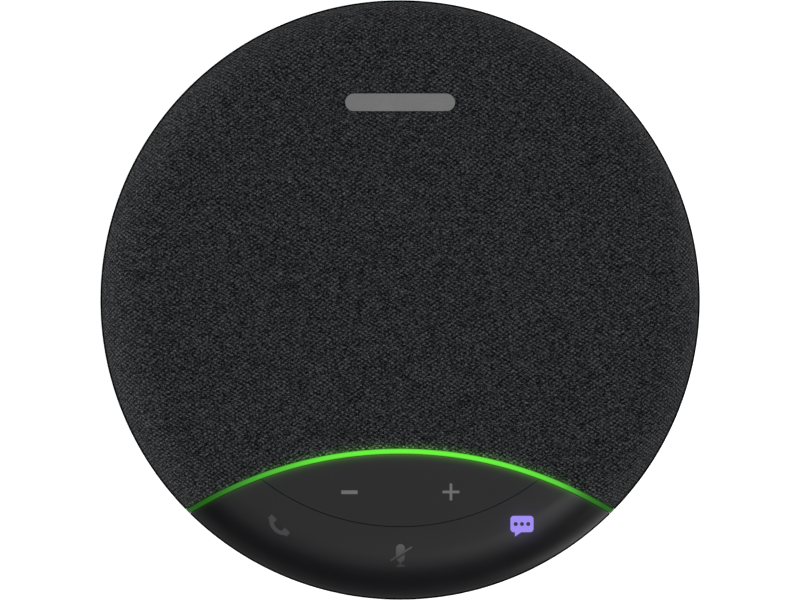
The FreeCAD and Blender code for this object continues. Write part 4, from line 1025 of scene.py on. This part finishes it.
def inlay(outlines):
    """Convex outlines laid on the keys' outer form, each a patch with its own side wall."""
    verts, faces, base = [], [], 0
    for outline in outlines:
        fine = []
        for k in range(len(outline)):
            here, there = np.array(outline[k]), np.array(outline[(k + 1) % len(outline)])
            steps = max(1, int(math.ceil(np.linalg.norm(there - here) / INLAY_STEP)))
            fine += [here + (there - here) * i / steps for i in range(steps)]
        fine = np.array(fine)
        middle = fine.mean(0)
        for size, depth in INLAY_RINGS:
            ring = middle + (fine - middle) * size
            verts.append(np.column_stack([ring, height_at(ring[:, 0], ring[:, 1]) - depth]))
        verts.append(np.array([[*middle, float(height_at(*middle))]]))
        count = len(fine)
        for row in range(len(INLAY_RINGS) - 1):
            start = base + row * count
            for i in range(count):
                j = (i + 1) % count
                faces.append((start + i, start + j, start + count + j, start + count + i))
        last = base + (len(INLAY_RINGS) - 1) * count
        tip = last + count
        faces += [(last + i, last + (i + 1) % count, tip) for i in range(count)]
        base = tip + 1
    return np.concatenate(verts), faces


def mute_sign():
    """A microphone crossed by a slash; the capsule shows above it, the cradle below."""
    slash = ((-1.90, -54.14), (2.33, -51.42))
    heading = math.atan2(slash[1][1] - slash[0][1], slash[1][0] - slash[0][0])
    above = (-math.sin(heading), math.cos(heading))
    below = (-above[0], -above[1])
    clear = 0.46                  # from the slash's middle line to the cradle
    cut = (slash[0][0] + below[0] * clear, slash[0][1] + below[1] * clear)
    capsule = stadium((0.08, -53.55), (0.08, -51.67), half=0.93, steps=20)
    cradle = stadium((0.10, -53.68), (0.10, -52.0), half=0.84, steps=20)
    stem = [(-0.13, -55.12), (0.25, -55.12), (0.25, -54.40), (-0.13, -54.40)]
    verts, faces = inlay([
        half_plane(capsule, slash[0], above),
        stadium(*slash, half=0.165, steps=8),
        half_plane(cradle, cut, below),
        stem,
        stadium((-0.55, -55.30), (0.80, -55.30), half=0.22, steps=8),
    ])
    piece("mute_sign", verts, faces, SIGN_MATERIALS["mute_icon"], "function_cap",
          "mute_icon")


mute_sign()


def flexing(node, name):
    """A smooth copy of a ring node, left off the bodies, with its place baked into its points."""
    ring = refine(node, name, ride=False)
    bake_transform(ring)


flexing("spider", "spider_web")
flexing("cone_surround", "surround_roll")


# ---------------------------------------------------------------- floor
def floor_material():
    """Bright for the camera, darker for other rays; clear from beneath and to shadow rays."""
    mat = Material("studio_floor")
    path = mat.node("LightPath").outputs
    camera_ray = path["Is Camera Ray"]
    cloud = mat.vary(mat.noise(mat.position(), scale=0.01, detail=3.0), 0.985, 1.0)
    tone = mat.mul(cloud, mat.remap(camera_ray, (0.0, 1.0), (0.30, 0.92)))
    mat.feed({
        "Base Color": mat.join(tone, tone, tone),
        "Roughness": 0.85,
        "Specular IOR Level": 0.1,
        "Emission Color": (1, 1, 1, 1),
        "Emission Strength": mat.mul(camera_ray, 0.74),
    })
    beneath = mat.node("NewGeometry").outputs["Backfacing"]
    mixed = mat.node("MixShader", {
        0: mat.math("MAXIMUM", beneath, path["Is Shadow Ray"]),
        1: mat.shader.outputs[0],
        2: mat.node("BsdfTransparent").outputs[0],
    })
    mat.plug(mat.output.inputs[0], mixed.outputs[0])
    return mat.data


FLOOR_HALF, FLOOR_Z = 6.0, -0.0002  # metres

floor_mesh = bpy.data.meshes.new("floor")
floor_corners = [
    (x * FLOOR_HALF, y * FLOOR_HALF, FLOOR_Z) for x, y in ((-1, -1), (1, -1), (1, 1), (-1, 1))
]
floor_mesh.from_pydata(floor_corners, [], [(0, 1, 2, 3)])
floor_mesh.materials.append(floor_material())
add_object("floor", floor_mesh)

# ---------------------------------------------------------------- lights, world and camera
# Name, place, target and side in metres, power in watts, the only pieces lit (None for all)
LIGHTS = [
    ("overhead", (0.06, 0.0, 1.10), (0, 0, 0.03), 1.95, 15.0, None),
    ("right_high", (0.45, -0.31, 1.02), (0.03, -0.04, 0.03), 0.62, 1.9, None),
    ("right_high_keys", (0.47, -0.31, 1.02), (0.03, -0.04, 0.03), 0.40, 2.1,
     [function_cap_obj, volume_cap_obj]),
    ("left_card", (-0.15, -0.15, 0.002), (-0.15, -0.15, 1.0), 0.17, 0.009, [function_cap_obj]),
    ("front_card", (0.12, -0.18, 0.002), (0.12, -0.18, 1.0), 0.16, 0.009, [function_cap_obj]),
    ("right_low", (0.80, -0.62, 0.20), (0.03, -0.03, 0.03), 0.30, 0.8, None),
    ("right_card", (0.088, -0.075, 0.003), (0.088, -0.075, 1.0), 0.09, 0.016,
     [function_cap_obj]),
    ("left_low", (-0.85, 0.10, 0.30), (0, 0, 0.03), 0.5, 3.4, [cloth_obj]),
    ("beneath", (0.30, 0.35, -0.70), (0, 0, 0.0), 0.7, 8.0, None),
]


def area_light(name, place, target, side, power, receivers):
    data = bpy.data.lights.new(name, "AREA")
    data.energy = power
    data.size = side
    light = add_object(name, data)
    light.location = place
    aim = Vector(target) - Vector(place)
    light.rotation_euler = aim.to_track_quat("-Z", "Y").to_euler()
    light.visible_camera = False
    if receivers:
        lit_only = bpy.data.collections.new(name + "_on")
        for obj in receivers:
            lit_only.objects.link(obj)
        light.light_linking.receiver_collection = lit_only


for light_settings in LIGHTS:
    area_light(*light_settings)

scene = bpy.context.scene
scene.world = bpy.data.worlds.new("studio")
scene.world.use_nodes = True
background = scene.world.node_tree.nodes["Background"]
background.inputs["Color"].default_value = (1.0, 1.0, 1.0, 1)
background.inputs["Strength"].default_value = 0.10

# The camera looks straight down from far above, through a long lens.
CAMERA_X, CAMERA_Y = -0.021, -0.002
CAMERA_RISE = 3706.174487     # above the case's widest line

camera_data = bpy.data.cameras.new("camera")
camera_data.lens = 800.0
camera_data.sensor_width = 36.0
camera_data.clip_end = 50.0   # metres
camera = add_object("camera", camera_data)
camera.location = (CAMERA_X * MM, CAMERA_Y * MM, (WIDE_Z + CAMERA_RISE) * MM)
scene.camera = camera
scene.view_settings.view_transform = "Standard"
scene.view_settings.look = "None"
